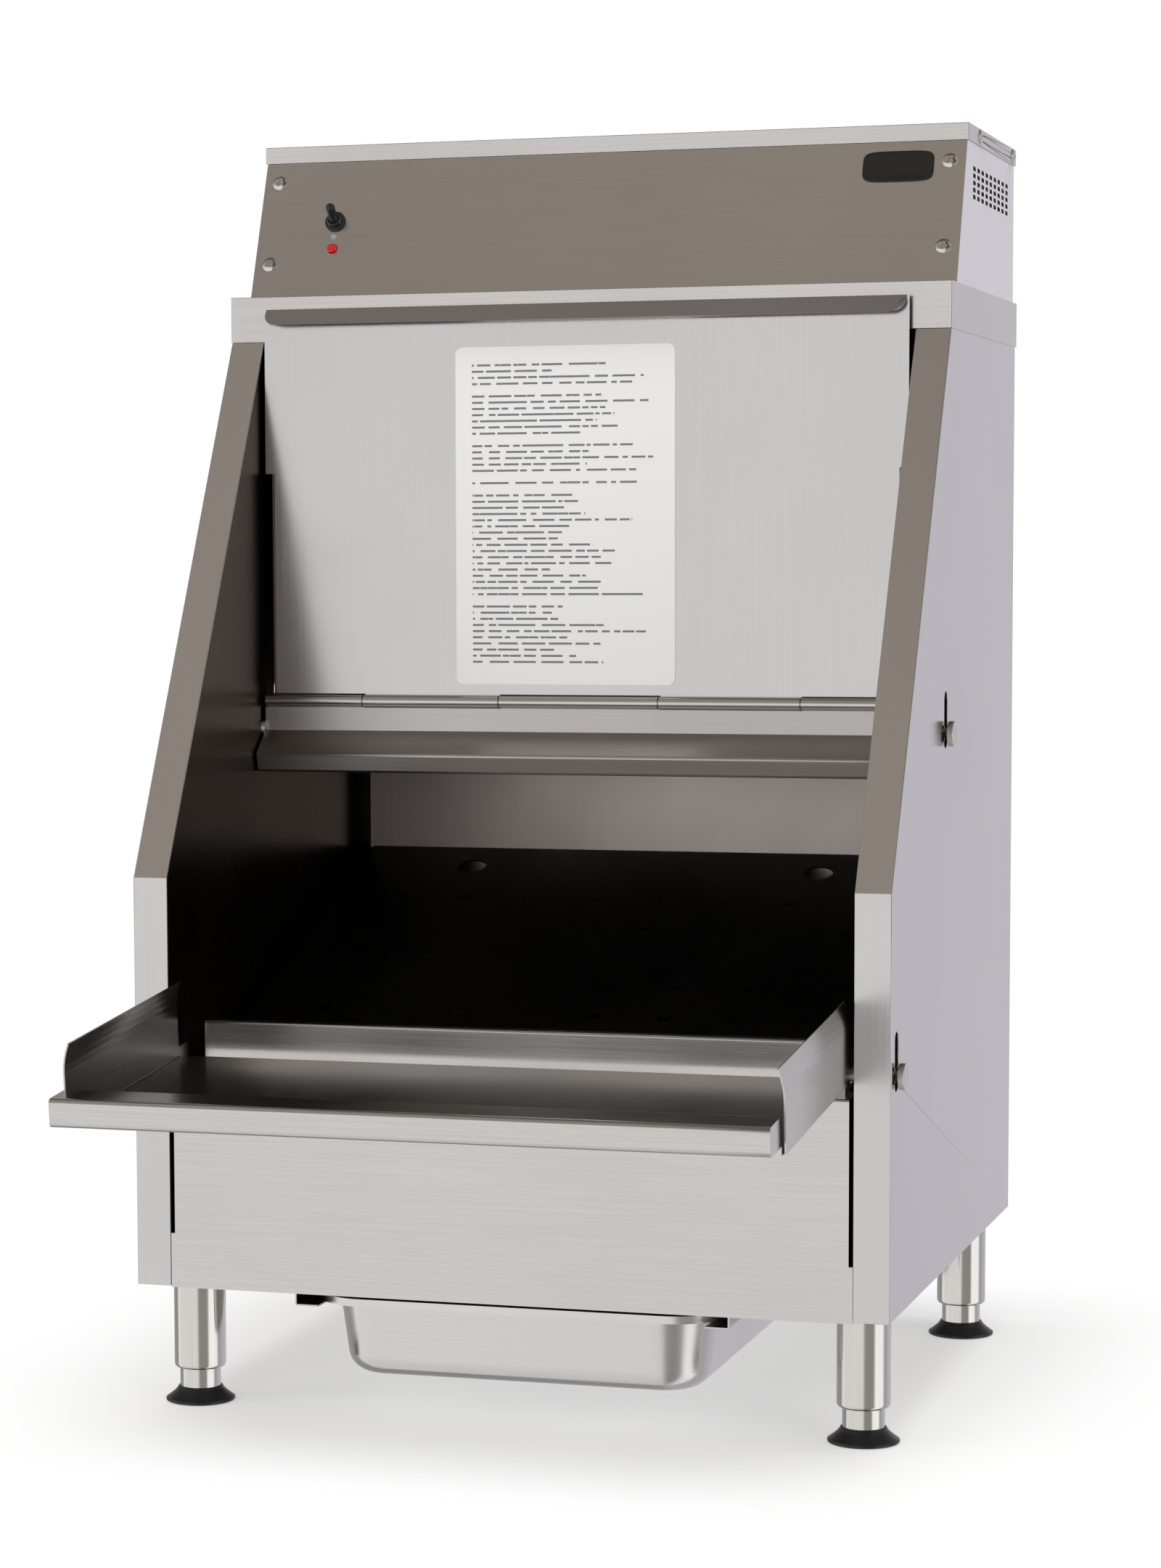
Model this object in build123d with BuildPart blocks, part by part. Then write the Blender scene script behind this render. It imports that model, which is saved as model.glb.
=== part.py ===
from build123d import *
from math import asin, atan2, cos, degrees, radians, sin, tan, pi
import os

os.makedirs("parts", exist_ok=True)

# A first-in first-out chip warmer: a double-walled stainless cabinet on four legs.
# Millimetres, +X to the right, +Y to the back, +Z up, origin on the floor in the middle.
# Heights are stacked from the floor; depths are measured back from the front frame.

# ---- driving dimensions ----
# cabinet
body_width = 600.0
body_depth = 546.0
leg_height = 102.0
knee_rise = 322.0        # vertical part of the front frame
slant_rise = 426.0       # height of the leaning part of the front frame
slant_run = 232.0        # how far the leaning part runs back
frame_width = 27.5       # face of the front frame, which is the thickness of the side wall
sheet = 1.2
thin = 0.8
skin_gap = 0.3           # running clearance between pieces that only pass each other
trim_wrap = 4.0
trim_return = 14.0
trim_bend = 1.0
wall_back = 26.0         # thickness of the back wall
# apron and bin sill
apron_rise = 168.0
apron_recess = 3.5
apron_tab_rise = 42.0
apron_hang = 1.0         # apron's lower edge below the base
apron_flange = 41.0
sill_top_rise = 38.0     # sill above the apron's top
sill_hem = 12.0
sill_drop = 8.0
sill_shelf = 20.0
side_corridor = 14.5     # room that the lower door's cheeks swing in
bend = 2.0
# lower door, a tray that stands open as a shelf
pivot_back = 24.0
pivot_rise = 183.5
door_tilt = 5.5
door_run = 276.0         # pivot to the front of the lip
lip_run = 36.0
lip_height = 21.5
lip_over = 28.5          # lip's top above the tray's floor
lip_inset = 6.6
cheek_gap = 3.6
cheek_height = 61.5
cheek_lean = 4.5
cheek_strip = 22.0
floor_start = 10.5       # pivot to the rear edge of the tray's floor
cheek_start = 14.0
tray_drop = 2.5
# hinge rail and thumb screws
slot_length = 45.0
slot_width = 14.0
slot_drop = 11.5         # slot's lower end below the screw
screw_radius = 4.0
boss_radius = 6.5
knob_radius = 10.0
knob_height = 5.0
knob_neck = 1.9
screw_reach = 14.0
rail_screw_in = 22.3     # rail's screw behind its nose and above its lower face
rail_screw_up = 34.5
rail_nose_back = 200.0
rail_depth = 38.0
rail_bottom_rise = 395.5
nose_height = 13.5
nose_lean = 4.5          # nose's lower edge behind its upper one
slope_rise = 18.5
strip_height = 19.5
strip_in = 23.0          # upright strip behind the nose
rail_end_gap = 2.0
# piano hinge
barrel_radius = 5.0
hinge_pin_radius = 2.5
leaf = 1.5
leaf_width = 22.0
knuckle_mid = 134.0
knuckle_next = 117.0
knuckle_gap = 1.0
pin_fit = 0.15
# top door
door_lift = 6.0          # top door's lower edge above the hinge axis
top_door_height = 315.5
door_side_gap = 3.5      # between the top door and the frame, each side
door_step = 4.0
door_flanged = 181.0
door_flange_depth = 21.0
handle_drop = 18.0
handle_lean = 48.0
handle_corner = 13.0
handle_end = 2.0         # handle's end back from the door's edge
plate_width = 184.0
plate_height = 273.0
plate_shift = -12.0
plate_rise = 8.5
plate_thick = 0.5
plate_corner = 6.0
# inside
duct_depth = 56.0        # hot-air duct, between its panel and the back liner
duct_slot = 10.5
floor_slope = 20.0
ledge_width = 16.0
ledge_start = 104.0
finger_hole = 13.0
floor_hole = 5.0
# collar and control box
collar_height = 37.0
collar_lap = 8.0
box_setback = 38.5
box_height = 117.0
box_lean = 45.5
box_inset = 2.0
lid_height = 13.5
lid_lip = 1.2
vent_width = 13.6
vent_height = 3.4
vent_pitch_y = 20.0
vent_pitch_z = 5.65
cover_corner = 6.0       # corners of the intake cover
vent_tail = 28.0         # plain sheet left behind the last louvre slot
vent_rows = 5
vent_start = 42.0
vent_top_drop = 18.5
lid_screw_front = 52.0   # lid screws behind the lid's front edge and before the back
lid_screw_rear = 15.0
panel_screw_side = 13.0
panel_screw_low = 32.5
panel_screw_high = 107.5
fastener_radius = 6.4
fastener_height = 2.4
badge_width = 58.0
badge_height = 27.0
badge_from_side = 54.5
badge_along = 103.5
toggle_from_side = 67.0
toggle_along = 70.0
boot_radius = 10.0
lever_radius = 4.0
lever_length = 20.0
lever_lean = 24.0
lens_drop = 14.0
lens_radius = 2.5
pilot_drop = 25.0
pilot_radius = 5.8
# blower and heater
scroll_radius = 58.0
scroll_width = 74.0
wheel_radius = 42.0
wheel_width = 52.0
motor_radius = 36.0
motor_length = 58.0
shaft_radius = 4.0
outlet_depth = 44.0
element_radius = 4.0
element_pitch = 46.0
element_loops = 4
element_rise = 70.0
inlet_up = 18.0          # cord gland above the collar
inlet_flange_radius = 14.0
inlet_flange = 3.0
inlet_radius = 10.0
inlet_bore = 6.0
inlet_length = 16.0
# legs and feet
leg_radius = 20.65
leg_in = 30.0
leg_front = 55.5
leg_rear = 63.0
leg_bottom = 27.0
leg_stub = 16.3
stub_fit = 0.3
stub_inside = 30.0
foot_radius = 27.8
foot_neck = 17.6
foot_height = 12.0
# crumb pan and its rails
pan_width = 332.0
pan_length = 528.0
pan_depth = 65.0
pan_rim = 12.0
pan_roll = 6.0
pan_corner = 44.0
pan_wall = 0.9
pan_taper = 8.0
rail_front = 15.0
rail_drop = 13.3
rail_lip = 19.0
rail_play = 7.3

# ---- derived places ----
front = -body_depth / 2
back = body_depth / 2
x_out = body_width / 2
x_in = x_out - frame_width
z_base = leg_height
z_knee = z_base + knee_rise
z_collar = z_knee + slant_rise
z_box = z_collar + collar_height
z_lid = z_box + box_height
z_top = z_lid + lid_height
slant = atan2(slant_run, slant_rise)
z_apron = z_base + apron_rise
x_bin = x_in - side_corridor
pivot = (front + pivot_back, z_base + pivot_rise)
z_rail = z_base + rail_bottom_rise
rail_screw = (front + rail_nose_back + rail_screw_in, z_rail + rail_screw_up)
rail_half = x_in - rail_end_gap
top_door_half = x_in - door_side_gap
handle_half = top_door_half - handle_end
strip_top = z_rail + nose_height + slope_rise + strip_height
strip_y = front + rail_nose_back + strip_in
skin_y = strip_y
leaf_y = skin_y + sheet
axis_y = leaf_y + leaf - barrel_radius
axis_z = strip_top + barrel_radius + 0.5
z_door = axis_z + door_lift
z_door_top = z_door + top_door_height
cheek_x = x_in - cheek_gap
liner_y = back - wall_back
duct_y = liner_y - duct_depth
base_top = z_base + sheet
sill_y = front + apron_flange + sheet
z_sill = z_apron + sill_top_rise
x_slab = x_in + sheet + skin_gap
x_journal = x_out - sheet - skin_gap
rail_travel = slot_length - slot_drop - slot_width / 2   # upward travel of the hinge rail


def keep(piece, name):
    """Label one finished piece and write it."""
    piece.part.label = name
    export_step(piece.part, "parts/" + name + ".step")


def twin(piece):
    """The same piece on the other side of the cabinet."""
    with BuildPart() as other:
        mirror(piece.part, about=Plane.YZ)
    return other


def front_line(inset, low, high):
    """Side view of the kinked front edge moved back by inset, from one height to another."""
    y = front + inset
    knee = z_knee - inset * tan(slant / 2)
    return [(y, low), (y, knee), (y + (high - knee) * tan(slant), high)]


def band(near, far, low, high):
    """Closed strip between two insets of the kinked front edge."""
    return front_line(near, low, high) + front_line(far, low, high)[::-1]


def outline(points):
    """Face of a closed polygon in the sketch that is open."""
    with BuildLine() as edge:
        Polyline(*points, close=True)
    make_face(edge.edges())


def folded(points, radius=bend, thickness=sheet):
    """Face of a folded sheet that lies on the left of its path."""
    with BuildLine() as edge:
        FilletPolyline(*points, radius=radius)
        offset(amount=thickness, side=Side.LEFT)
    make_face(edge.edges())


def tube_along(points, radius, bend_radius):
    """Round rod along a bent path."""
    with BuildPart() as rod:
        with BuildLine() as path:
            FilletPolyline(*points, radius=bend_radius)
        with BuildSketch(Plane(origin=path.line @ 0, z_dir=path.line % 0)):
            Circle(radius)
        sweep(path=path.line)
    return rod


# ---- side walls ----
def slots(extra=0.0):
    """Upright slots for the thumb screws in the sketch that is open."""
    for y, z in (pivot, rail_screw):
        with Locations((y, z - slot_drop + slot_length / 2)):
            SlotOverall(slot_length + 2 * extra, slot_width + 2 * extra, rotation=90, mode=Mode.SUBTRACT)


with BuildPart() as side_panel_right:
    with BuildSketch(Plane.YZ.offset(x_out - sheet)):
        tail = [(front + slant_run + 2 * sheet, z_collar), (front + slant_run + 2 * sheet, z_collar + collar_lap),
                (back - sheet, z_collar + collar_lap), (back - sheet, z_base)]
        outline(front_line(sheet, z_base, z_collar) + tail)
        slots()
    extrude(amount=sheet)
keep(side_panel_right, "side_panel_right")
keep(twin(side_panel_right), "side_panel_left")

with BuildPart() as front_trim_right:
    with BuildSketch(Plane.YZ.offset(x_in)):
        outline(band(0, sheet, z_base, z_collar))
    extrude(amount=frame_width + thin)
    with BuildSketch(Plane.YZ.offset(x_out)):
        outline(band(0, trim_wrap, z_base, z_collar))
    extrude(amount=thin)
    with BuildSketch(Plane.YZ.offset(x_in + sheet)):
        outline(band(0, trim_return, base_top, z_collar))
    extrude(amount=thin)
    corner = [e for e in front_trim_right.edges().filter_by(lambda e: e.geom_type == GeomType.LINE)
              if abs((e @ 0).X - x_out - thin) < 0.01 and abs((e @ 1).X - x_out - thin) < 0.01
              and all(abs(p.Y - front - max(p.Z - z_knee, 0) * tan(slant)) < 0.01 for p in (e @ 0, e @ 1))]
    fillet(corner, trim_bend)
keep(front_trim_right, "front_trim_right")
keep(twin(front_trim_right), "front_trim_left")

# the liner carries an angle ledge for the slanted false bottom
floor_front = (sill_y + sill_hem + 4 * skin_gap, z_apron - 4.0)
floor_rise = tan(radians(floor_slope))


def floor_z(y, drop=0.0):
    """Height of the false bottom's lower face at a depth."""
    return floor_front[1] + (y - floor_front[0]) * floor_rise - drop


ledge_y0 = front + ledge_start
ledge_y1 = duct_y - 2 * skin_gap
with BuildPart() as side_liner_right:
    with BuildSketch(Plane.YZ.offset(x_in)):
        rear = [(liner_y - skin_gap, z_collar), (liner_y - skin_gap, base_top)]
        outline(front_line(sheet, base_top, z_collar) + rear)
        slots()
    extrude(amount=sheet)
    with BuildSketch(Plane.YZ.offset(x_in - ledge_width)):
        outline([(ledge_y0, floor_z(ledge_y0, sheet)), (ledge_y1, floor_z(ledge_y1, sheet)),
                 (ledge_y1, floor_z(ledge_y1)), (ledge_y0, floor_z(ledge_y0))])
    extrude(amount=ledge_width)
    with BuildSketch(Plane.YZ.offset(x_in - sheet)):
        outline([(ledge_y0, floor_z(ledge_y0, ledge_width)), (ledge_y1, floor_z(ledge_y1, ledge_width)),
                 (ledge_y1, floor_z(ledge_y1)), (ledge_y0, floor_z(ledge_y0))])
    extrude(amount=sheet)
    with BuildSketch(Plane.YZ.offset(x_in)):
        for y, z in (pivot, rail_screw):
            with Locations((y, z - slot_drop + slot_length / 2)):
                SlotOverall(slot_length + 2 * sheet, slot_width + 2 * sheet, rotation=90)
                SlotOverall(slot_length, slot_width, rotation=90, mode=Mode.SUBTRACT)
    extrude(amount=x_out - sheet - skin_gap - x_in)
keep(side_liner_right, "side_liner_right")
keep(twin(side_liner_right), "side_liner_left")

with BuildPart() as wall_insulation:
    with BuildSketch(Plane.YZ.offset(x_slab + thin)):
        rear = [(back - 4 * sheet, z_collar - sheet), (back - 4 * sheet, base_top + skin_gap)]
        outline(front_line(trim_return + sheet, base_top + skin_gap, z_collar - sheet) + rear)
        slots(trim_return / 2)
    extrude(amount=x_out - sheet - skin_gap - x_slab - thin)
    mirror(about=Plane.YZ)
keep(wall_insulation, "wall_insulation")

# ---- back, base and roof ----
with BuildPart() as back_panel:
    with Locations((0, back - sheet / 2, z_base)):
        Box(body_width, sheet, z_collar + collar_lap - z_base, align=(Align.CENTER, Align.CENTER, Align.MIN))
keep(back_panel, "back_panel")

with BuildPart() as back_liner:
    with BuildSketch(Plane.XY.offset(base_top)):
        folded([(-x_slab, back - 2 * sheet), (-x_slab, liner_y), (x_slab, liner_y), (x_slab, back - 2 * sheet)])
    extrude(amount=z_collar - base_top)
keep(back_liner, "back_liner")

pan_center = front + rail_front + pan_length / 2 + skin_gap
crumb_hole = (front + rail_front + 3 * pan_rim, duct_y - trim_return)   # front and rear edges of the opening
with BuildPart() as base_panel:
    with BuildSketch(Plane.XY.offset(z_base)):
        with Locations((0, (front + back) / 2 + sheet / 2)):
            Rectangle(2 * (x_out - sheet), body_depth - 3 * sheet)
        with Locations((0, (crumb_hole[0] + crumb_hole[1]) / 2)):
            Rectangle(pan_width - 3 * pan_rim, crumb_hole[1] - crumb_hole[0], mode=Mode.SUBTRACT)
    extrude(amount=sheet)
keep(base_panel, "base_panel")

with BuildPart() as front_apron:
    with BuildSketch(Plane.YZ.offset(-x_in + apron_recess)):
        folded([(front + apron_flange, z_apron), (front + sheet / 3, z_apron), (front + sheet / 3, z_base - apron_hang)])
    extrude(amount=2 * (x_in - apron_recess))
    with BuildSketch(Plane.XZ.offset(-front - sheet / 3)):
        with Locations((0, z_base - apron_hang)):
            Rectangle(2 * (x_in - skin_gap), apron_tab_rise + apron_hang, align=(Align.CENTER, Align.MIN))
    extrude(amount=-sheet)
    with Locations(*[(side * (x_in - apron_recess - sheet / 2), front + sheet, base_top) for side in (-1, 1)]):
        Box(sheet, trim_return, z_apron - base_top - sheet / 2, align=(Align.CENTER, Align.MIN, Align.MIN))
keep(front_apron, "front_apron")

with BuildPart() as bin_sill:
    with BuildSketch(Plane.YZ.offset(-x_bin)):
        folded([(sill_y + sill_hem, z_sill - sill_drop), (sill_y + sill_hem, z_sill), (sill_y - sheet, z_sill),
                (sill_y - sheet, floor_front[1] - sheet), (sill_y + sill_shelf, floor_front[1] - sheet)])
    extrude(amount=2 * x_bin)
keep(bin_sill, "bin_sill")

with BuildPart() as duct_panel:
    with BuildSketch(Plane.XY.offset(base_top)):
        edge_x = x_in - duct_slot
        folded([(-edge_x, duct_y + trim_return), (-edge_x, duct_y), (edge_x, duct_y),
                (edge_x, duct_y + trim_return)])
    extrude(amount=z_collar - base_top)
keep(duct_panel, "duct_panel")

outlet_y = (duct_y + liner_y) / 2 + sheet
with BuildPart() as hopper_ceiling:
    with BuildSketch(Plane.XY.offset(z_collar)):
        with Locations((0, (front + slant_run + 2 * sheet + back - 2 * sheet) / 2)):
            Rectangle(2 * (x_out - sheet - skin_gap), back - 4 * sheet - front - slant_run)
        with Locations((0, outlet_y)):
            Rectangle(scroll_width, outlet_depth, mode=Mode.SUBTRACT)
        with Locations((-element_pitch * element_loops, outlet_y), (element_pitch * element_loops, outlet_y)):
            Circle(element_radius + skin_gap, mode=Mode.SUBTRACT)
    extrude(amount=sheet)
keep(hopper_ceiling, "hopper_ceiling")

with BuildPart() as top_collar:
    collar_depth = back + sheet - (front + slant_run - sheet)
    with BuildSketch(Plane.XY.offset(z_collar)):
        with Locations((0, (back + front + slant_run) / 2)):
            Rectangle(body_width + 2 * sheet, collar_depth)
            Rectangle(body_width, collar_depth - 2 * sheet, mode=Mode.SUBTRACT)
    extrude(amount=collar_height)
    with BuildSketch(Plane.XY.offset(z_box - sheet)):
        with Locations((0, (back + front + slant_run) / 2)):
            Rectangle(body_width, collar_depth - 2 * sheet)
        with Locations((0, outlet_y)):
            Rectangle(scroll_width, outlet_depth, mode=Mode.SUBTRACT)
        with Locations((-element_pitch * element_loops, outlet_y), (element_pitch * element_loops, outlet_y)):
            Circle(element_radius + skin_gap, mode=Mode.SUBTRACT)
    extrude(amount=sheet)
keep(top_collar, "top_collar")

# ---- control box ----
x_box = x_out - box_inset
box_y = front + slant_run - sheet + box_setback
lean = atan2(box_lean, box_height)
panel_side = box_height / cos(lean)
lid_screw_y = (box_y + box_lean + lid_screw_front, back - lid_screw_rear)
with BuildPart() as control_box_shell:
    with BuildSketch(Plane.YZ.offset(-x_box)):
        inset_y = box_y + sheet / cos(lean)
        outline([(inset_y, z_box), (back, z_box), (back, z_top - sheet), (inset_y + box_lean, z_top - sheet),
                 (inset_y + box_lean, z_lid)])
    extrude(amount=2 * x_box)
    with BuildSketch(Plane.XY.offset(z_box)):
        with Locations((0, back - sheet)):
            Rectangle(2 * (x_box - sheet), body_depth, align=(Align.CENTER, Align.MAX))
    extrude(amount=box_height + lid_height, mode=Mode.SUBTRACT)
    vent_first = box_y + box_lean + vent_start - trim_return + vent_width / 2
    vent_columns = 1 + int((back - vent_tail - vent_width / 2 - vent_first) / vent_pitch_y)
    vent_y = vent_first + (vent_columns - 1) * vent_pitch_y / 2
    vent_z = z_lid - vent_top_drop - (vent_rows - 1) * vent_pitch_z / 2 - vent_height / 2
    with BuildSketch(Plane.YZ):
        with Locations((vent_y, vent_z)):
            with GridLocations(vent_pitch_y, vent_pitch_z, vent_columns, vent_rows):
                Rectangle(vent_width, vent_height)
    extrude(amount=x_box + sheet, both=True, mode=Mode.SUBTRACT)
    with BuildSketch(Plane.XZ.offset(-back)):
        for vent_x in (-x_box / 2, x_box / 2):
            with Locations((vent_x, vent_z)):
                with GridLocations(vent_pitch_y, vent_pitch_z, vent_columns, vent_rows):
                    Rectangle(vent_width, vent_height)
    extrude(amount=2 * sheet, both=True, mode=Mode.SUBTRACT)
    with Locations(*[Location((0, y, z_lid + lid_height / 2), (0, 90, 0)) for y in lid_screw_y]):
        Cylinder(fastener_radius / 3, 3 * x_box, mode=Mode.SUBTRACT)
keep(control_box_shell, "control_box_shell")

# the control panel leans back; its own plane has X across and Y up the slope
panel_plane = Plane(origin=(0, box_y, z_box), x_dir=(1, 0, 0), z_dir=(0, -cos(lean), sin(lean)))
panel_screws = [(side * (x_box - panel_screw_side), along) for side in (-1, 1)
                for along in (panel_screw_low, panel_screw_high)]
toggle_at = (-x_box + toggle_from_side, toggle_along)
with BuildPart() as control_panel:
    with BuildSketch(panel_plane):
        with Locations((0, sheet * tan(lean))):
            Rectangle(2 * x_box, panel_side - sheet * tan(lean) - skin_gap, align=(Align.CENTER, Align.MIN))
        with Locations(*panel_screws):
            Circle(fastener_radius / 3, mode=Mode.SUBTRACT)
        with Locations(toggle_at):
            Circle(boot_radius * 0.6, mode=Mode.SUBTRACT)
        with Locations((toggle_at[0], toggle_at[1] - lens_drop)):
            Circle(lens_radius - skin_gap, mode=Mode.SUBTRACT)
        with Locations((toggle_at[0], toggle_at[1] - pilot_drop)):
            Circle(pilot_radius - 3 * skin_gap, mode=Mode.SUBTRACT)
    extrude(amount=-sheet)
    with BuildSketch(Plane.YZ.offset(-x_box + sheet + skin_gap)):
        foot_y = box_y + sheet / cos(lean)
        outline([(foot_y, z_box), (foot_y + trim_return, z_box), (foot_y + trim_return, z_box + sheet),
                 (foot_y + sheet * tan(lean), z_box + sheet)])
    extrude(amount=2 * (x_box - sheet - skin_gap))
keep(control_panel, "control_panel")

with BuildPart() as control_lid:
    lid_front = box_y + box_lean - lid_lip
    lid_rear = back + lid_lip + skin_gap
    lid_half = x_box + lid_lip + skin_gap
    with BuildSketch(Plane.XY.offset(z_lid)):
        with Locations((0, lid_front)):
            Rectangle(2 * lid_half, lid_rear - lid_front, align=(Align.CENTER, Align.MIN))
    extrude(amount=lid_height)
    with BuildSketch(Plane.XY.offset(z_lid)):
        with Locations((0, lid_front + lid_lip)):
            Rectangle(2 * (lid_half - lid_lip), lid_rear - lid_front - 2 * lid_lip,
                      align=(Align.CENTER, Align.MIN))
    extrude(amount=lid_height - sheet, mode=Mode.SUBTRACT)
    with Locations(*[Location((0, y, z_lid + lid_height / 2), (0, 90, 0)) for y in lid_screw_y]):
        Cylinder(fastener_radius / 3, 3 * lid_half, mode=Mode.SUBTRACT)
keep(control_lid, "control_lid")


def fastener():
    """Truss-head screw with a cross recess, seated at the origin with its head up."""
    with BuildPart() as screw:
        with BuildSketch():
            Circle(fastener_radius)
        extrude(amount=fastener_height, taper=50)
        with BuildSketch():
            Circle(fastener_radius * 0.3)
        extrude(amount=-3 * sheet)
        with BuildSketch(Plane.XY.offset(fastener_height)):
            Rectangle(fastener_radius, fastener_radius / 5, rotation=45)
            Rectangle(fastener_radius, fastener_radius / 5, rotation=-45)
        extrude(amount=-fastener_height / 2, mode=Mode.SUBTRACT)
    return screw.part


with BuildPart() as cover_screws:
    with Locations(*[panel_plane * Location((x, y, 0)) for x, y in panel_screws]):
        add(fastener())
    for side in (-1, 1):
        with Locations(*[Location((side * lid_half, y, z_lid + lid_height / 2), (0, side * 90, 0))
                         for y in lid_screw_y]):
            add(fastener())
keep(cover_screws, "cover_screws")

with BuildPart() as badge_plate:
    with BuildSketch(panel_plane):
        with Locations((x_box - badge_from_side, badge_along)):
            RectangleRounded(badge_width, badge_height, badge_height / 4)
    extrude(amount=sheet)
    chamfer(badge_plate.faces().sort_by(Axis(panel_plane.origin, panel_plane.z_dir))[-1].edges(), sheet / 2)
keep(badge_plate, "badge_plate")

toggle_plane = Plane(origin=panel_plane.from_local_coords(Vector(toggle_at[0], toggle_at[1], 0)),
                     x_dir=(1, 0, 0), z_dir=panel_plane.z_dir)
toggle_pivot = 5.0
with BuildPart() as toggle_switch_body:
    with BuildSketch(toggle_plane):
        Circle(boot_radius)
    extrude(amount=3.0)
    with BuildSketch(toggle_plane.offset(3.0)):
        Circle(boot_radius * 0.8)
    extrude(amount=6.0, taper=12)
    with BuildSketch(toggle_plane):
        Circle(boot_radius * 0.6 - skin_gap)
    extrude(amount=-9.0)
    with BuildSketch(toggle_plane.offset(-sheet - skin_gap)):
        Rectangle(1.5 * boot_radius, 2.2 * boot_radius)
    extrude(amount=-22.0)
    with BuildSketch(toggle_plane.offset(toggle_pivot - lever_radius - skin_gap)):
        Rectangle(2 * (lever_radius + skin_gap), 1.5 * boot_radius)
    extrude(amount=30.0, mode=Mode.SUBTRACT)
keep(toggle_switch_body, "toggle_switch_body")

lever_axis = toggle_plane.origin + toggle_plane.z_dir * toggle_pivot
lever_dir = toggle_plane.z_dir.rotate(Axis.X, -lever_lean)
with BuildPart() as toggle_lever:
    with BuildSketch(Plane(origin=lever_axis, x_dir=(1, 0, 0), z_dir=lever_dir)):
        Circle(lever_radius * 0.55)
    extrude(amount=lever_length - lever_radius, taper=-2.5)
    with Locations(lever_axis + lever_dir * (lever_length - lever_radius)):
        Sphere(lever_radius * 0.8)
    with Locations(lever_axis):
        Sphere(lever_radius)
keep(toggle_lever, "toggle_lever")

with BuildPart() as indicator_lenses:
    for drop, radius in ((lens_drop, lens_radius), (pilot_drop, pilot_radius)):
        with BuildSketch(toggle_plane):
            with Locations((0, -drop)):
                Circle(radius)
        extrude(amount=radius * 0.45, taper=20)
        with BuildSketch(toggle_plane):
            with Locations((0, -drop)):
                Circle(radius - 4 * skin_gap)
        extrude(amount=-4 * sheet)
keep(indicator_lenses, "indicator_lenses")

# ---- blower, heater and inlet ----
scroll_y = outlet_y + outlet_depth / 2 - scroll_radius
scroll_z = z_box + scroll_radius + 2 * sheet
with BuildPart() as blower_housing:
    with BuildSketch(Plane.YZ.offset(-scroll_width / 2 + skin_gap)):
        with Locations((scroll_y, scroll_z)):
            Circle(scroll_radius)
        with Locations((outlet_y + outlet_depth / 2 - skin_gap, z_collar)):
            Rectangle(outlet_depth - 2 * skin_gap, scroll_z - z_collar, align=(Align.MAX, Align.MIN))
    extrude(amount=scroll_width - 2 * skin_gap)
    with BuildSketch(Plane.YZ.offset(-scroll_width / 2 + skin_gap + sheet)):
        with Locations((scroll_y, scroll_z)):
            Circle(scroll_radius - sheet)
        with Locations((outlet_y + outlet_depth / 2 - skin_gap - sheet, z_collar - 1)):
            Rectangle(outlet_depth - 2 * skin_gap - 2 * sheet, scroll_z - z_collar + 1,
                      align=(Align.MAX, Align.MIN))
    extrude(amount=scroll_width - 2 * skin_gap - 2 * sheet, mode=Mode.SUBTRACT)
    with Locations(Location((0, scroll_y, scroll_z), (0, 90, 0))):
        Cylinder(wheel_radius * 0.7, scroll_width, align=(Align.CENTER, Align.CENTER, Align.MIN),
                 mode=Mode.SUBTRACT)
        Cylinder(shaft_radius + 2 * skin_gap, scroll_width, align=(Align.CENTER, Align.CENTER, Align.MAX),
                 mode=Mode.SUBTRACT)
keep(blower_housing, "blower_housing")

x_motor = -scroll_width / 2 + skin_gap
with BuildPart() as blower_motor:
    with Locations(Location((x_motor, scroll_y, scroll_z), (0, -90, 0))):
        Cylinder(motor_radius, motor_length, align=(Align.CENTER, Align.CENTER, Align.MIN))
        Cylinder(shaft_radius, wheel_width, align=(Align.CENTER, Align.CENTER, Align.MAX))
    fillet(blower_motor.edges().filter_by(GeomType.CIRCLE).sort_by(Axis.X)[0], motor_radius / 6)
keep(blower_motor, "blower_motor")

with BuildPart() as blower_wheel:
    blades = 20
    with Locations(Location((x_motor + 4 * sheet, scroll_y, scroll_z), (0, 90, 0))):
        Cylinder(wheel_radius, sheet, align=(Align.CENTER, Align.CENTER, Align.MIN))
        Cylinder(2.5 * shaft_radius, wheel_width / 2, align=(Align.CENTER, Align.CENTER, Align.MIN))
    with BuildSketch(Plane.YZ.offset(x_motor + 4 * sheet)):
        with Locations((scroll_y, scroll_z)):
            with PolarLocations(wheel_radius * 0.88, blades):
                Rectangle(wheel_radius * 0.18, sheet, rotation=35)
    extrude(amount=wheel_width)
    with Locations(Location((x_motor + 4 * sheet + wheel_width - sheet, scroll_y, scroll_z), (0, 90, 0))):
        Cylinder(wheel_radius, sheet, align=(Align.CENTER, Align.CENTER, Align.MIN))
        Cylinder(wheel_radius * 0.8, 4 * sheet, mode=Mode.SUBTRACT)
    with Locations(Location((x_motor, scroll_y, scroll_z), (0, 90, 0))):
        Cylinder(shaft_radius + pin_fit, scroll_width, align=(Align.CENTER, Align.CENTER, Align.MIN),
                 mode=Mode.SUBTRACT)
keep(blower_wheel, "blower_wheel")

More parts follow.
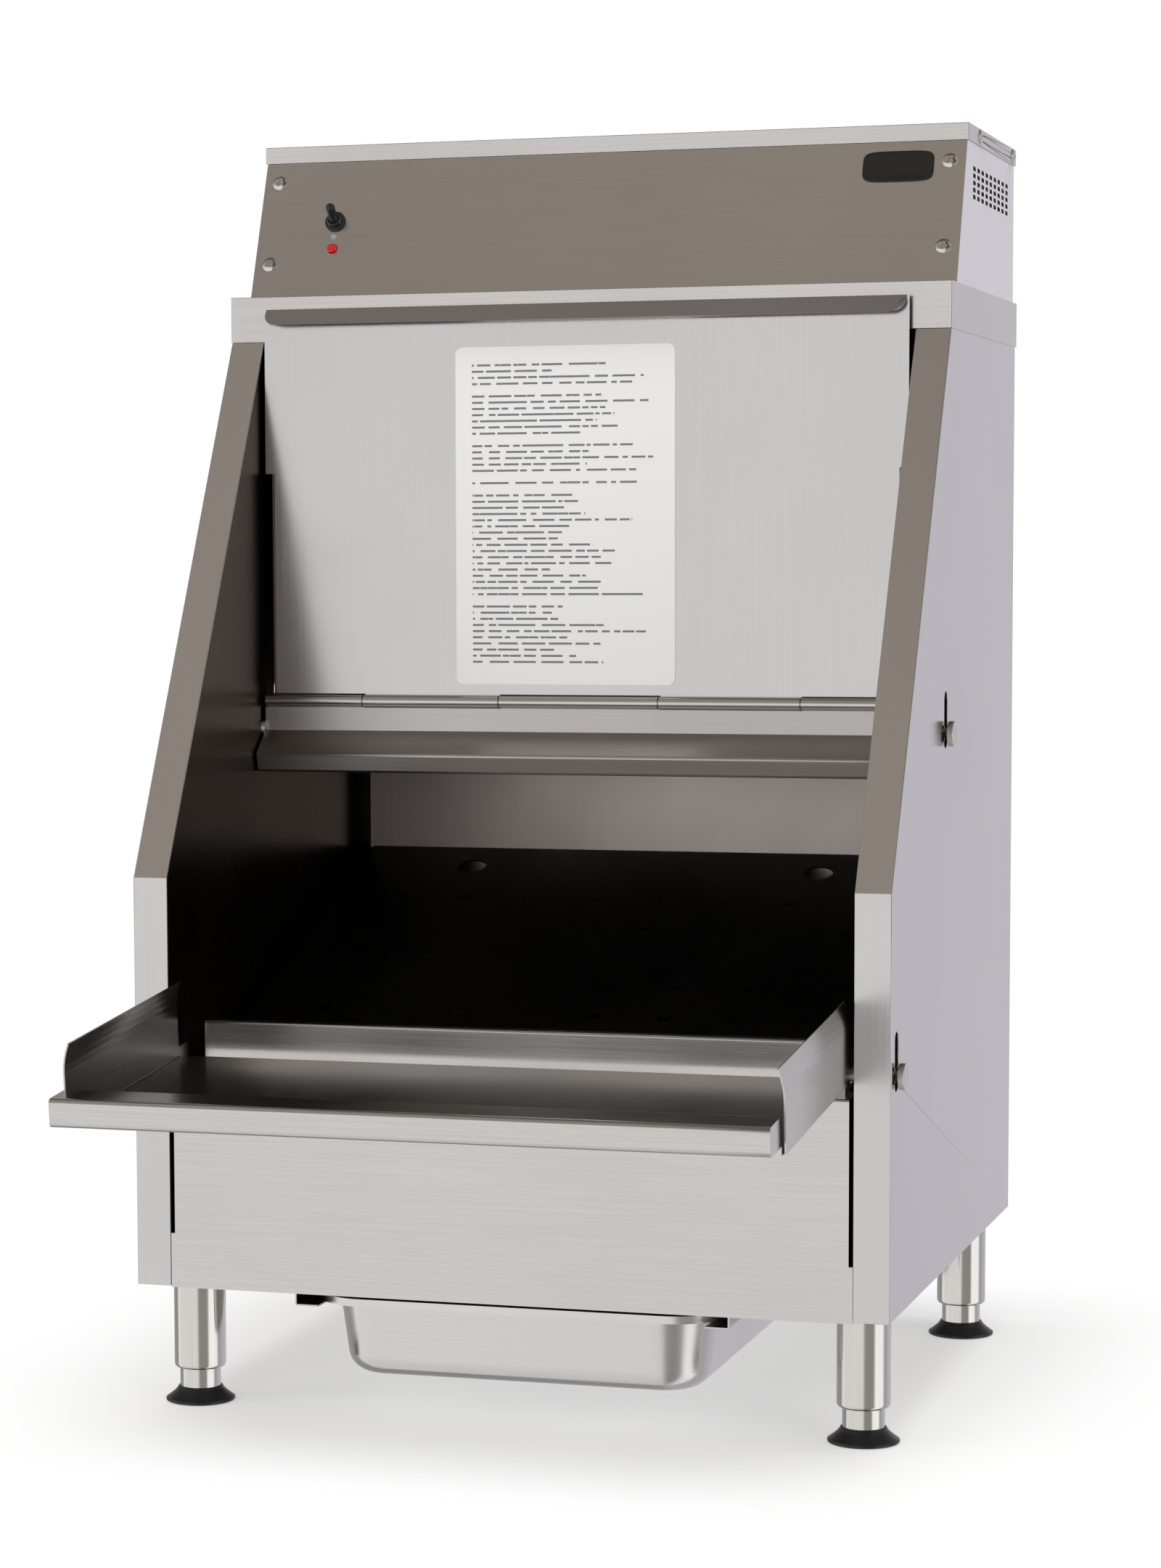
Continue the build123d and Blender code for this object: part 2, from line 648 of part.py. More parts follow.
reach = element_pitch * element_loops
low, high, terminal = z_collar - element_rise, z_collar - 4 * element_radius, z_box + 3 * element_radius
path = [(-reach, outlet_y, terminal), (-reach, outlet_y, low)]
for turn in range(1, 2 * element_loops):
    x = -reach + turn * element_pitch
    ends = [(x, outlet_y, low), (x, outlet_y, high)]
    path += ends if turn % 2 else ends[::-1]
path += [(reach, outlet_y, low), (reach, outlet_y, terminal)]
heater_element = tube_along(path, element_radius, element_pitch * 0.4)
keep(heater_element, "heater_element")

with BuildPart() as power_inlet:
    with Locations(Location((-x_box * 0.8, back, z_box + inlet_up), (90, 0, 0))):
        Cylinder(inlet_flange_radius, inlet_flange, align=(Align.CENTER, Align.CENTER, Align.MAX))
        Cylinder(inlet_radius, inlet_length, align=(Align.CENTER, Align.CENTER, Align.MAX))
        Cylinder(inlet_bore, inlet_length, align=(Align.CENTER, Align.CENTER, Align.MAX), mode=Mode.SUBTRACT)
    fillet(power_inlet.faces().sort_by(Axis.Y)[-1].edges(), inlet_flange / 2)
keep(power_inlet, "power_inlet")

cover_width = x_box * 0.6
with BuildPart() as air_intake_cover:
    with BuildSketch(Plane.XZ.offset(-back)):
        with Locations((0, vent_z - 4 * vent_pitch_z)):
            RectangleRounded(cover_width, vent_rows * 2 * vent_pitch_z, cover_corner)
            with GridLocations(vent_pitch_y, vent_pitch_z, 7, 8):
                Rectangle(vent_width, vent_height, mode=Mode.SUBTRACT)
    extrude(amount=-sheet)
keep(air_intake_cover, "air_intake_cover")

# ---- lower door ----
door_eu = (0, -cos(radians(door_tilt)), -sin(radians(door_tilt)))
door_section = Plane(origin=(0, pivot[0], pivot[1]), x_dir=(1, 0, 0), z_dir=door_eu)
door_side = Plane(origin=(0, pivot[0], pivot[1]), x_dir=door_eu, z_dir=(-1, 0, 0))
lip_back = door_run - lip_run
floor_v = -tray_drop
cheek_top = floor_v + cheek_height
with BuildPart() as lower_door_pan:
    with BuildSketch(door_section.offset(cheek_start)):
        curl = [(cheek_x - cheek_lean * t * t, cheek_top - cheek_strip * (1 - t)) for t in (1, 0.75, 0.5, 0.25)]
        half = curl + [(cheek_x, cheek_top - cheek_strip), (cheek_x, floor_v)]
        folded([(-x, v) for x, v in half] + half[::-1])
    extrude(amount=lip_back - cheek_start)
    with BuildSketch(door_section.offset(floor_start)):
        with Locations((0, floor_v)):
            Rectangle(2 * x_bin, sheet, align=(Align.CENTER, Align.MIN))
    extrude(amount=cheek_start - floor_start)
    for side in (-1, 1):
        with BuildSketch(door_side.offset(side * cheek_x)):
            Circle(boss_radius)
            with Locations((0, floor_v)):
                Rectangle(cheek_start + sheet, boss_radius - floor_v, align=(Align.MIN, Align.MIN))
        extrude(amount=-side * sheet)
keep(lower_door_pan, "lower_door_pan")

lip_top = floor_v + lip_over
lip_half = x_in - lip_inset
with BuildPart() as lower_door_lip:
    with BuildSketch(door_side.offset(-lip_half)):
        folded([(lip_back, floor_v), (lip_back, lip_top), (door_run, lip_top),
                (door_run, lip_top - lip_height), (door_run - lip_run / 2, lip_top - lip_height)][::-1],
               radius=2 * bend)
    extrude(amount=2 * lip_half)
    for side in (-1, 1):
        with BuildSketch(door_side.offset(side * lip_half)):
            with Locations((lip_back, lip_top)):
                Rectangle(lip_run, lip_height, align=(Align.MIN, Align.MAX))
            fillet(vertices().group_by(Axis.X)[-1], 2 * bend)
        extrude(amount=-side * sheet)
keep(lower_door_lip, "lower_door_lip")

with BuildPart() as door_pivot_bosses:
    with BuildSketch(Plane.YZ.offset(cheek_x)):
        with Locations(pivot):
            Circle(boss_radius)
            Circle(screw_radius + pin_fit, mode=Mode.SUBTRACT)
    extrude(amount=x_journal - cheek_x)
    mirror(about=Plane.YZ)
keep(door_pivot_bosses, "door_pivot_bosses")

# ---- hinge rail ----
rail_path = [(strip_y, strip_top), (strip_y, strip_top - strip_height), (front + rail_nose_back, z_rail + nose_height),
             (front + rail_nose_back + nose_lean, z_rail), (front + rail_nose_back + rail_depth, z_rail),
             (front + rail_nose_back + rail_depth, strip_top - 3 * sheet),
             (leaf_y + leaf + 2 * sheet + skin_gap, strip_top - 3 * sheet)]
with BuildPart() as hinge_rail:
    with BuildSketch(Plane.YZ.offset(-rail_half)):
        folded(rail_path, radius=bend * 0.8)
    extrude(amount=2 * rail_half)
    for side in (-1, 1):
        with BuildSketch(Plane.YZ.offset(side * rail_half)):
            outline([(front + rail_nose_back + nose_lean + sheet, z_rail + sheet),
                     (front + rail_nose_back + rail_depth - sheet, z_rail + sheet),
                     (front + rail_nose_back + rail_depth - sheet, strip_top - 4 * sheet),
                     (strip_y + sheet / 2, strip_top - 4 * sheet), (strip_y + sheet / 2, strip_top - strip_height),
                     (front + rail_nose_back + sheet, z_rail + nose_height)])
            with Locations(rail_screw):
                Circle(boss_radius)
        extrude(amount=-side * sheet)
        with BuildSketch(Plane.YZ.offset(side * rail_half)):
            with Locations(rail_screw):
                Circle(boss_radius)
                Circle(screw_radius + pin_fit, mode=Mode.SUBTRACT)
        extrude(amount=side * (x_journal - rail_half))
keep(hinge_rail, "hinge_rail")

# ---- piano hinge ----
k0 = knuckle_mid / 2
k1 = k0 + knuckle_next
k2 = rail_half - sheet - skin_gap
hinge_axis = Plane.YZ


def knuckles(spans, upward, leaf_half):
    """One hinge leaf with its knuckles, above or below the axis."""
    with BuildPart() as half:
        for x0, x1 in spans:
            with BuildSketch(Plane.YZ.offset(x0 + knuckle_gap / 2)):
                with Locations((axis_y, axis_z)):
                    Circle(barrel_radius)
                with Locations((axis_y + barrel_radius, axis_z)):
                    Rectangle(leaf, 2 * barrel_radius + bend, align=(Align.MAX, Align.MIN if upward else Align.MAX))
                with Locations((axis_y, axis_z)):
                    Circle(hinge_pin_radius + pin_fit, mode=Mode.SUBTRACT)
            extrude(amount=x1 - x0 - knuckle_gap)
        edge = barrel_radius + 1.0
        with Locations((0, axis_y + barrel_radius, axis_z + (edge if upward else -edge))):
            Box(2 * leaf_half, leaf, leaf_width - edge, align=(Align.CENTER, Align.MAX, Align.MIN if upward else Align.MAX))
    return half


hinge_fixed_leaf = knuckles([(-k2, -k1), (-k0, k0), (k1, k2)], False, k2)
keep(hinge_fixed_leaf, "hinge_fixed_leaf")
hinge_moving_leaf = knuckles([(-k1, -k0), (k0, k1)], True, top_door_half - door_step - sheet - 2 * bend)
keep(hinge_moving_leaf, "hinge_moving_leaf")

with BuildPart() as hinge_pin:
    with Locations(Location((0, axis_y, axis_z), (0, 90, 0))):
        Cylinder(hinge_pin_radius, 2 * k2)
keep(hinge_pin, "hinge_pin")

# ---- top door ----
with BuildPart() as top_door_skin:
    skirt = top_door_half - door_step
    with BuildSketch(Plane.XY.offset(z_door)):
        folded([(-skirt, skin_y + door_flange_depth), (-skirt, skin_y), (skirt, skin_y),
                (skirt, skin_y + door_flange_depth)], radius=2 * bend)
    extrude(amount=door_flanged)
    with Locations((0, skin_y, z_door + door_flanged)):
        Box(2 * top_door_half, sheet, top_door_height - door_flanged, align=(Align.CENTER, Align.MIN, Align.MIN))
    fold = Plane(origin=(0, skin_y, z_door_top), x_dir=(1, 0, 0),
                 z_dir=(0, -sin(radians(handle_lean)), cos(radians(handle_lean))))
    with BuildSketch(fold):
        Rectangle(2 * handle_half, handle_drop, align=(Align.CENTER, Align.MAX))
        fillet(vertices().group_by(Axis.Y)[0], handle_corner)
    extrude(amount=-sheet)
keep(top_door_skin, "top_door_skin")

with BuildPart() as top_door_liner:
    tray_half = top_door_half - door_step - sheet - 2 * skin_gap
    tray_y = leaf_y + leaf + skin_gap
    tray_top = z_collar - 3 * sheet - rail_travel
    with Locations((0, tray_y, z_door + 2 * sheet)):
        Box(2 * tray_half, skin_y + door_flange_depth - tray_y, tray_top - z_door - 2 * sheet,
            align=(Align.CENTER, Align.MIN, Align.MIN))
    with Locations((0, tray_y, z_door + 2 * sheet + thin)):
        Box(2 * (tray_half - thin), skin_y + door_flange_depth - tray_y - thin, tray_top - z_door - 2 * sheet - 2 * thin,
            align=(Align.CENTER, Align.MIN, Align.MIN), mode=Mode.SUBTRACT)
keep(top_door_liner, "top_door_liner")

with BuildPart() as instruction_plate:
    with BuildSketch(Plane.XZ.offset(-skin_y)):
        with Locations((plate_shift, z_door + plate_rise + plate_height / 2)):
            RectangleRounded(plate_width, plate_height, plate_corner)
    extrude(amount=plate_thick)
keep(instruction_plate, "instruction_plate")

# ---- false bottom ----
floor_half = x_bin - 2 * skin_gap
floor_dir = (0, cos(radians(floor_slope)), sin(radians(floor_slope)))
floor_len = (duct_y - 4 * skin_gap - floor_front[0]) / cos(radians(floor_slope))
floor_plane = Plane(origin=(0, floor_front[0], floor_front[1] + skin_gap), x_dir=(1, 0, 0),
                    z_dir=(0, -sin(radians(floor_slope)), cos(radians(floor_slope))))
with BuildPart() as false_bottom:
    with BuildSketch(floor_plane):
        Rectangle(2 * floor_half, floor_len, align=(Align.CENTER, Align.MIN))
        with Locations((0, floor_len * 0.45)):
            with GridLocations(floor_half / 4.5, floor_len / 8, 8, 6):
                Circle(floor_hole, mode=Mode.SUBTRACT)
        with Locations((-floor_half * 0.6, floor_len - 3 * finger_hole), (floor_half * 0.6, floor_len - 3 * finger_hole)):
            Circle(finger_hole, mode=Mode.SUBTRACT)
    extrude(amount=sheet)
keep(false_bottom, "false_bottom")

# ---- thumb screws ----
def thumb_screw(at):
    """Knurled thumb screw on the right side at a (y, z) place."""
    with BuildPart() as screw:
        with Locations(Location((x_out + skin_gap, at[0], at[1]), (0, 90, 0))):
            Cylinder(boss_radius, knob_neck, align=(Align.CENTER, Align.CENTER, Align.MIN))
            Cylinder(screw_radius, screw_reach + skin_gap, align=(Align.CENTER, Align.CENTER, Align.MAX))
        with BuildSketch(Plane.YZ.offset(x_out + skin_gap + knob_neck)):
            with Locations(at):
                Circle(knob_radius)
                with PolarLocations(knob_radius, 24):
                    Circle(0.7, mode=Mode.SUBTRACT)
        extrude(amount=knob_height)
    return screw


for name, at in (("door_thumb_screw", pivot), ("rail_thumb_screw", rail_screw)):
    screw = thumb_screw(at)
    keep(screw, name + "_right")
    keep(twin(screw), name + "_left")

# ---- legs and feet ----
leg_x = x_out - leg_in
leg_places = {"front_left": (-leg_x, front + leg_front), "front_right": (leg_x, front + leg_front),
              "rear_left": (-leg_x, back - leg_rear), "rear_right": (leg_x, back - leg_rear)}
for corner, (x, y) in leg_places.items():
    with BuildPart() as leg:
        with Locations((x, y, leg_bottom)):
            Cylinder(leg_radius, z_base - leg_bottom, align=(Align.CENTER, Align.CENTER, Align.MIN))
        fillet(leg.edges().sort_by(Axis.Z)[0], leg_radius - leg_stub - stub_fit - 0.5)
        with Locations((x, y, leg_bottom)):
            Cylinder(leg_stub + stub_fit, stub_inside + foot_height + 3.0,
                     align=(Align.CENTER, Align.CENTER, Align.MIN), mode=Mode.SUBTRACT)
    keep(leg, "leg_" + corner)
    with BuildPart() as stub:
        with Locations((x, y, foot_height)):
            Cylinder(leg_stub, leg_bottom - foot_height + stub_inside, align=(Align.CENTER, Align.CENTER, Align.MIN))
    keep(stub, "foot_stub_" + corner)
    with BuildPart() as boot:
        with BuildSketch(Plane.XZ.offset(-y)):
            outline([(x, 0), (x + foot_radius - 3.0, 0), (x + foot_radius, 2.0), (x + foot_neck, foot_height),
                     (x, foot_height)])
        revolve(axis=Axis((x, y, 0), (0, 0, 1)))
    keep(boot, "foot_boot_" + corner)

# ---- crumb pan and rails ----
x_web = pan_width / 2 + rail_play
z_lip = z_base - rail_drop + sheet
with BuildPart() as pan_rail_right:
    with BuildSketch(Plane.XZ.offset(-front - rail_front)):
        folded([(x_web + sheet - rail_lip * 0.8, z_base), (x_web + sheet, z_base), (x_web + sheet, z_base - rail_drop),
                (x_web + sheet - rail_lip, z_base - rail_drop)][::-1], radius=bend * 0.8)
    extrude(amount=-pan_length)
keep(pan_rail_right, "pan_rail_right")
keep(twin(pan_rail_right), "pan_rail_left")

z_rim = z_lip + skin_gap + pan_roll
with BuildPart() as hollow:
    with BuildSketch(Plane.XY.offset(z_rim)):
        with Locations((0, pan_center)):
            RectangleRounded(pan_width - 2 * pan_rim - 2 * pan_wall, pan_length - 2 * pan_rim - 2 * pan_wall,
                             pan_corner - pan_wall)
    extrude(amount=pan_wall - pan_depth, taper=pan_taper)
    fillet(hollow.faces().sort_by(Axis.Z)[0].edges(), pan_corner * 0.4 - pan_wall)
with BuildPart() as crumb_pan:
    with BuildSketch(Plane.XY.offset(z_rim)):
        with Locations((0, pan_center)):
            RectangleRounded(pan_width - 2 * pan_rim, pan_length - 2 * pan_rim, pan_corner)
    extrude(amount=-pan_depth, taper=pan_taper)
    fillet(crumb_pan.faces().sort_by(Axis.Z)[0].edges(), pan_corner * 0.4)
    add(hollow.part, mode=Mode.SUBTRACT)
    with BuildSketch(Plane.XY.offset(z_rim)):
        with Locations((0, pan_center)):
            RectangleRounded(pan_width, pan_length, pan_corner)
            RectangleRounded(pan_width - 2 * pan_rim - 2 * pan_wall, pan_length - 2 * pan_rim - 2 * pan_wall,
                             pan_corner - pan_wall, mode=Mode.SUBTRACT)
    extrude(amount=-1.2 * pan_wall)
    with BuildSketch(Plane.XY.offset(z_rim)):
        with Locations((0, pan_center)):
            RectangleRounded(pan_width, pan_length, pan_corner)
            RectangleRounded(pan_width - pan_roll, pan_length - pan_roll, pan_corner - pan_roll / 2,
                             mode=Mode.SUBTRACT)
    extrude(amount=-pan_roll)
keep(crumb_pan, "crumb_pan")
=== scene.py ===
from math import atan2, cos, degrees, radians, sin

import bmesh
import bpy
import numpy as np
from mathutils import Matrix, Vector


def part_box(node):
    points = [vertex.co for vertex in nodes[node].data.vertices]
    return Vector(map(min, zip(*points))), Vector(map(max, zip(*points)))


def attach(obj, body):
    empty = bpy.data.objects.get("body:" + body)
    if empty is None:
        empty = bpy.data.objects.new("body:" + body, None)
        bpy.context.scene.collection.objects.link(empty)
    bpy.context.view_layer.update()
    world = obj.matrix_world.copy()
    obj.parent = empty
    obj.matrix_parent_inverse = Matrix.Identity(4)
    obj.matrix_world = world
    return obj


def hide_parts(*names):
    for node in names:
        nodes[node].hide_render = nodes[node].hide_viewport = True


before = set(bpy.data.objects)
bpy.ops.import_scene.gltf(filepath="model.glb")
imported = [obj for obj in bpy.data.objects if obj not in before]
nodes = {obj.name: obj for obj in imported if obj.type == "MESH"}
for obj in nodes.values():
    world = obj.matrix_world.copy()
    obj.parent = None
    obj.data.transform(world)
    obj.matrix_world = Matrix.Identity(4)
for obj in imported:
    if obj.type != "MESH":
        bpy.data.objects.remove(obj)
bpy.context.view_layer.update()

# %% [markdown]
# # A stainless chip warmer
# The real cabinet is folded from thin stainless sheet. Its folds, gaps and slots come from the
# CAD nodes that the frame brings along, so they keep their places here. What this script adds is
# what sheet metal lives by: a brushed grain, soft edges that catch the light, a room to reflect,
# and the small turned and moulded pieces that CAD leaves plain.

scene = bpy.context.scene
scene.view_settings.view_transform = "Standard"

# %% [markdown]
# ## The camera
# It stands to the right of the middle and above the serving tray, is turned 17 degrees to the left
# and looks down by five. The lens is long, so the cabinet's uprights stay nearly parallel. The view
# is shifted too: the lens's axis meets the view left of its middle and below it.

# %% Camera
MM = 0.001
camera_place = Vector((0.84149, -3.08665, 0.67639))
yaw, pitch, roll = radians(17.2225), radians(-5.0119), radians(-0.2548)
forward = Vector((-sin(yaw) * cos(pitch), cos(yaw) * cos(pitch), sin(pitch)))
level = Vector((cos(yaw), sin(yaw), 0.0))
upward = level.cross(forward)
across = cos(roll) * level + sin(roll) * upward
upright = -sin(roll) * level + cos(roll) * upward

lens = bpy.data.cameras.new("studio_camera")
lens.lens, lens.sensor_width = 89.10, 36.0
lens.shift_x, lens.shift_y = 0.0751, 0.0692
camera = bpy.data.objects.new("studio_camera", lens)
scene.collection.objects.link(camera)
camera.matrix_world = Matrix((
    (across.x, upright.x, -forward.x, camera_place.x),
    (across.y, upright.y, -forward.y, camera_place.y),
    (across.z, upright.z, -forward.z, camera_place.z),
    (0.0, 0.0, 0.0, 1.0)))
scene.camera = camera
print("camera at", tuple(round(v, 3) for v in camera_place))

# %% [markdown]
# ## Colours and nodes
# Colours are written as the hex values a colour picker gives. Shaders work in linear light, so one
# function converts them. Another adds a node, sets its values and links its inputs in one line.

# %% Two helpers
def linear(hex_code, alpha=1.0):
    """Linear colour of an sRGB hex value: divide by 12.92 near black, else a 2.4 power curve."""
    value = np.array([int(hex_code[i:i + 2], 16) for i in (1, 3, 5)]) / 255
    curve = np.where(value <= 0.04045, value / 12.92, ((value + 0.055) / 1.055) ** 2.4)
    return (*curve.tolist(), alpha)


def add(tree, kind, settings=(), **links):
    """Adds a node. settings are properties or input values by name, links are inputs to wire."""
    node = tree.nodes.new(kind)
    for name, value in dict(settings).items():
        if hasattr(node, name):
            setattr(node, name, value)
        else:
            node.inputs[int(name) if name.isdigit() else name].default_value = value
    for name, source in links.items():
        key = name.strip("_").replace("_", " ")
        tree.links.new(source, node.inputs[int(key) if key.isdigit() else key])
    return node


print("a mid grey of #808080 is", round(linear("#808080")[0], 3), "in linear light")

# %% [markdown]
# ## The room
# Polished and brushed metal has hardly any colour of its own: it shows the room. A product studio
# has a white sweep behind and under the object, so upright faces look pale. The space above the
# camera is unlit, so faces that lean back show a dull taupe. Round the walls, tall white panels
# stand between darker openings, and a round leg shows them as upright bands. The world here is
# that room, drawn from the direction that a ray looks in: its height and its bearing. The camera
# itself sees plain white behind the cabinet.

# %% The world
world = bpy.data.worlds.new("studio_room")
world.use_nodes = True
scene.world = world
room = world.node_tree
room.nodes.clear()
looking = add(room, "ShaderNodeTexCoord")
split = add(room, "ShaderNodeSeparateXYZ", Vector=looking.outputs["Generated"])


def ramp(tree, source, stops, mode="EASE"):
    """Colour ramp through (position, linear colour) stops."""
    node = add(tree, "ShaderNodeValToRGB", _0=source)
    node.color_ramp.interpolation = mode
    elements = node.color_ramp.elements
    for place, tint in stops[1:-1]:
        elements.new(place).color = (*tint, 1.0)
    elements[0].position, elements[-1].position = stops[0][0], stops[-1][0]
    elements[0].color, elements[-1].color = (*stops[0][1], 1.0), (*stops[-1][1], 1.0)
    return node.outputs["Color"]


height = add(room, "ShaderNodeMapRange", {"From Min": -1.0}, Value=split.outputs["Z"]).outputs[0]
fronting = add(room, "ShaderNodeMapRange", {"From Min": 0.15, "From Max": -0.35},
               Value=split.outputs["Y"]).outputs[0]
GROUND, WHITE, CEILING = (0.80, 0.80, 0.80), (1.0, 1.0, 1.0), (0.25, 0.225, 0.21)
behind_room = ramp(room, height, [(0.0, GROUND), (0.47, WHITE), (0.58, WHITE),
                                  (0.72, (0.60, 0.59, 0.58)), (0.85, (0.36, 0.34, 0.32)),
                                  (1.0, CEILING)])
front_room = ramp(room, height, [(0.0, GROUND), (0.46, (1.0, 0.995, 1.0)),
                                 (0.56, (0.97, 0.965, 0.97)), (0.69, (0.40, 0.37, 0.35)),
                                 (0.787, (0.32, 0.30, 0.285)), (0.875, (0.45, 0.41, 0.35)),
                                 (0.96, (0.30, 0.27, 0.24)), (1.0, CEILING)])
room_colour = add(room, "ShaderNodeMix", {"data_type": "RGBA"}, _0=fronting, _6=behind_room,
                  _7=front_room).outputs[2]


def turn_stops(*stops):
    """Ramp stops from bearings in degrees (0 is the front, 90 the right) and their colours."""
    return [((bearing + 180) / 360, tint) for bearing, tint in stops]


ahead = add(room, "ShaderNodeMath", {"operation": "MULTIPLY", "1": -1.0},
            _0=split.outputs["Y"]).outputs[0]
bearing = add(room, "ShaderNodeMath", {"operation": "ARCTAN2"}, _0=split.outputs["X"],
              _1=ahead).outputs[0]
turned_share = add(room, "ShaderNodeMapRange", {"From Min": -np.pi, "From Max": np.pi},
                   Value=bearing).outputs[0]
LEFT_PANEL, RIGHT_PANEL = (1.15, 1.15, 1.15), (1.35, 1.35, 1.35)
OPENING, REAR_WALL = (0.36, 0.35, 0.34), (0.66, 0.65, 0.69)
wall = ramp(room, turned_share, turn_stops(
    (-180, REAR_WALL), (-150, (0.42, 0.41, 0.41)), (-98, (0.38, 0.37, 0.37)), (-90, LEFT_PANEL),
    (-72, WHITE), (6, WHITE), (18, OPENING), (52, OPENING), (64, RIGHT_PANEL), (96, RIGHT_PANEL),
    (110, (0.50, 0.49, 0.52)), (140, (0.64, 0.62, 0.67)), (168, (0.66, 0.64, 0.69)),
    (180, REAR_WALL)))
lit_room = add(room, "ShaderNodeVectorMath", {"operation": "MULTIPLY"}, _0=room_colour, _1=wall)
seen = add(room, "ShaderNodeLightPath").outputs["Is Camera Ray"]
sweep = add(room, "ShaderNodeMix", {"data_type": "RGBA", "7": (1, 1, 1, 1)}, _0=seen,
            _6=lit_room.outputs[0])
glow = add(room, "ShaderNodeBackground", {"Strength": 1.0}, Color=sweep.outputs[2])
add(room, "ShaderNodeOutputWorld", Surface=glow.outputs[0])


# %% [markdown]
# ## Lamps and the floor
# Soft lamps stand wide of the camera, low in front and overhead. They light what is matt, and are
# kept out of mirror reflections, so that the sheets show the room alone. The floor is plain white.
# It fades into the white of the room within 22 centimetres of the cabinet's outline, so that no
# horizon shows, and under the cabinet it keeps half of its shadow. Steel mirrors the room in its
# place.

# %% Lamps
def lamp(name, place, aim, size, power):
    """Soft lamp, width by height in metres and power in watts, that shines from place to aim."""
    data = bpy.data.lights.new(name, "AREA")
    data.shape, data.size, data.size_y, data.energy = "RECTANGLE", size[0], size[1], power
    source = bpy.data.objects.new(name, data)
    source.location = place
    source.rotation_mode = "QUATERNION"
    source.rotation_quaternion = (Vector(aim) - Vector(place)).to_track_quat("-Z", "Y")
    scene.collection.objects.link(source)
    source.visible_glossy = False


lamp("lamp_right", (2.6, -2.2, 1.7), (0, 0, 0.5), (1.6, 1.6), 22)
lamp("lamp_left", (-2.6, -2.2, 1.2), (0, 0, 0.4), (1.6, 1.6), 22)
lamp("lamp_low", (-0.4, -3.2, 0.9), (0, 0, 0.1), (2.0, 1.0), 26)
lamp("lamp_top", (0.1, -0.2, 3.2), (0, 0, 0), (2.6, 2.6), 100)

# %% Floor
REACH = 0.62                         # metres from the middle of the floor to each of its sides
FLOOR_DROP = 0.0005                  # the floor lies this far under the soles
FOOTPRINT_HALF = (0.30, 0.273, 0.0)  # half the width and half the depth of the cabinet's base
FADE_START, FADE_END = 0.0, 0.22     # metres beyond the cabinet's outline
SHADOW_SHARE = 0.5                   # how much of the floor's own light and shade is kept

floor_mesh = bpy.data.meshes.new("studio_floor")
floor_mesh.from_pydata([(x * REACH, y * REACH, 0) for x, y in ((-1, -1), (1, -1), (1, 1), (-1, 1))],
                       [], [(0, 1, 2, 3)])
floor = bpy.data.objects.new("studio_floor", floor_mesh)
floor.location.z = -FLOOR_DROP
floor.visible_glossy = False
scene.collection.objects.link(floor)

floor_paint = bpy.data.materials.new("white_sweep")
floor_paint.use_nodes = True
tree = floor_paint.node_tree
tree.nodes.clear()
place = add(tree, "ShaderNodeTexCoord").outputs["Object"]
folded_place = add(tree, "ShaderNodeVectorMath", {"operation": "ABSOLUTE"}, _0=place).outputs[0]
beyond = add(tree, "ShaderNodeVectorMath", {"operation": "SUBTRACT", "1": FOOTPRINT_HALF},
             _0=folded_place).outputs[0]
outside = add(tree, "ShaderNodeVectorMath", {"operation": "MAXIMUM"}, _0=beyond).outputs[0]
distance = add(tree, "ShaderNodeVectorMath", {"operation": "LENGTH"}, _0=outside).outputs["Value"]
fade = add(tree, "ShaderNodeMapRange", {"interpolation_type": "SMOOTHSTEP", "From Min": FADE_START,
                                        "From Max": FADE_END}, Value=distance).outputs[0]
fade = add(tree, "ShaderNodeMapRange", {"To Min": 1 - SHADOW_SHARE}, Value=fade).outputs[0]
matte = add(tree, "ShaderNodeBsdfDiffuse", {"Color": (0.93, 0.93, 0.93, 1)})
plain = add(tree, "ShaderNodeEmission", {"Color": (1, 1, 1, 1), "Strength": 1.0})
mixed = add(tree, "ShaderNodeMixShader", _0=fade, _1=matte.outputs[0], _2=plain.outputs[0])
add(tree, "ShaderNodeOutputMaterial", Surface=mixed.outputs[0])
floor_mesh.materials.append(floor_paint)
print("floor spans", 2 * REACH, "m; past it the camera sees the white of the room")

# %% [markdown]
# ## Stainless sheet
# The cabinet is 304 stainless with a number 4 finish: a belt has drawn fine scratches in one
# direction. To the eye that is a metal that mirrors softly along the grain and blurs across it.
# Real scratches are a tenth of a millimetre apart, too fine to show here, so the grain is drawn
# about one millimetre wide and the finer ones are left to the roughness.

# %% Steel
STEEL_ROUGHNESS = 0.21       # number 4 belt finish
GRAIN_WIDTH = 1.1 * MM
GRAIN_LENGTH = 160 * MM
GRAIN_SWING = 0.05           # how far the streaks move the roughness either way
MOTTLE_SWING = 0.06          # the same for the mottling of paint, rubber and plastic


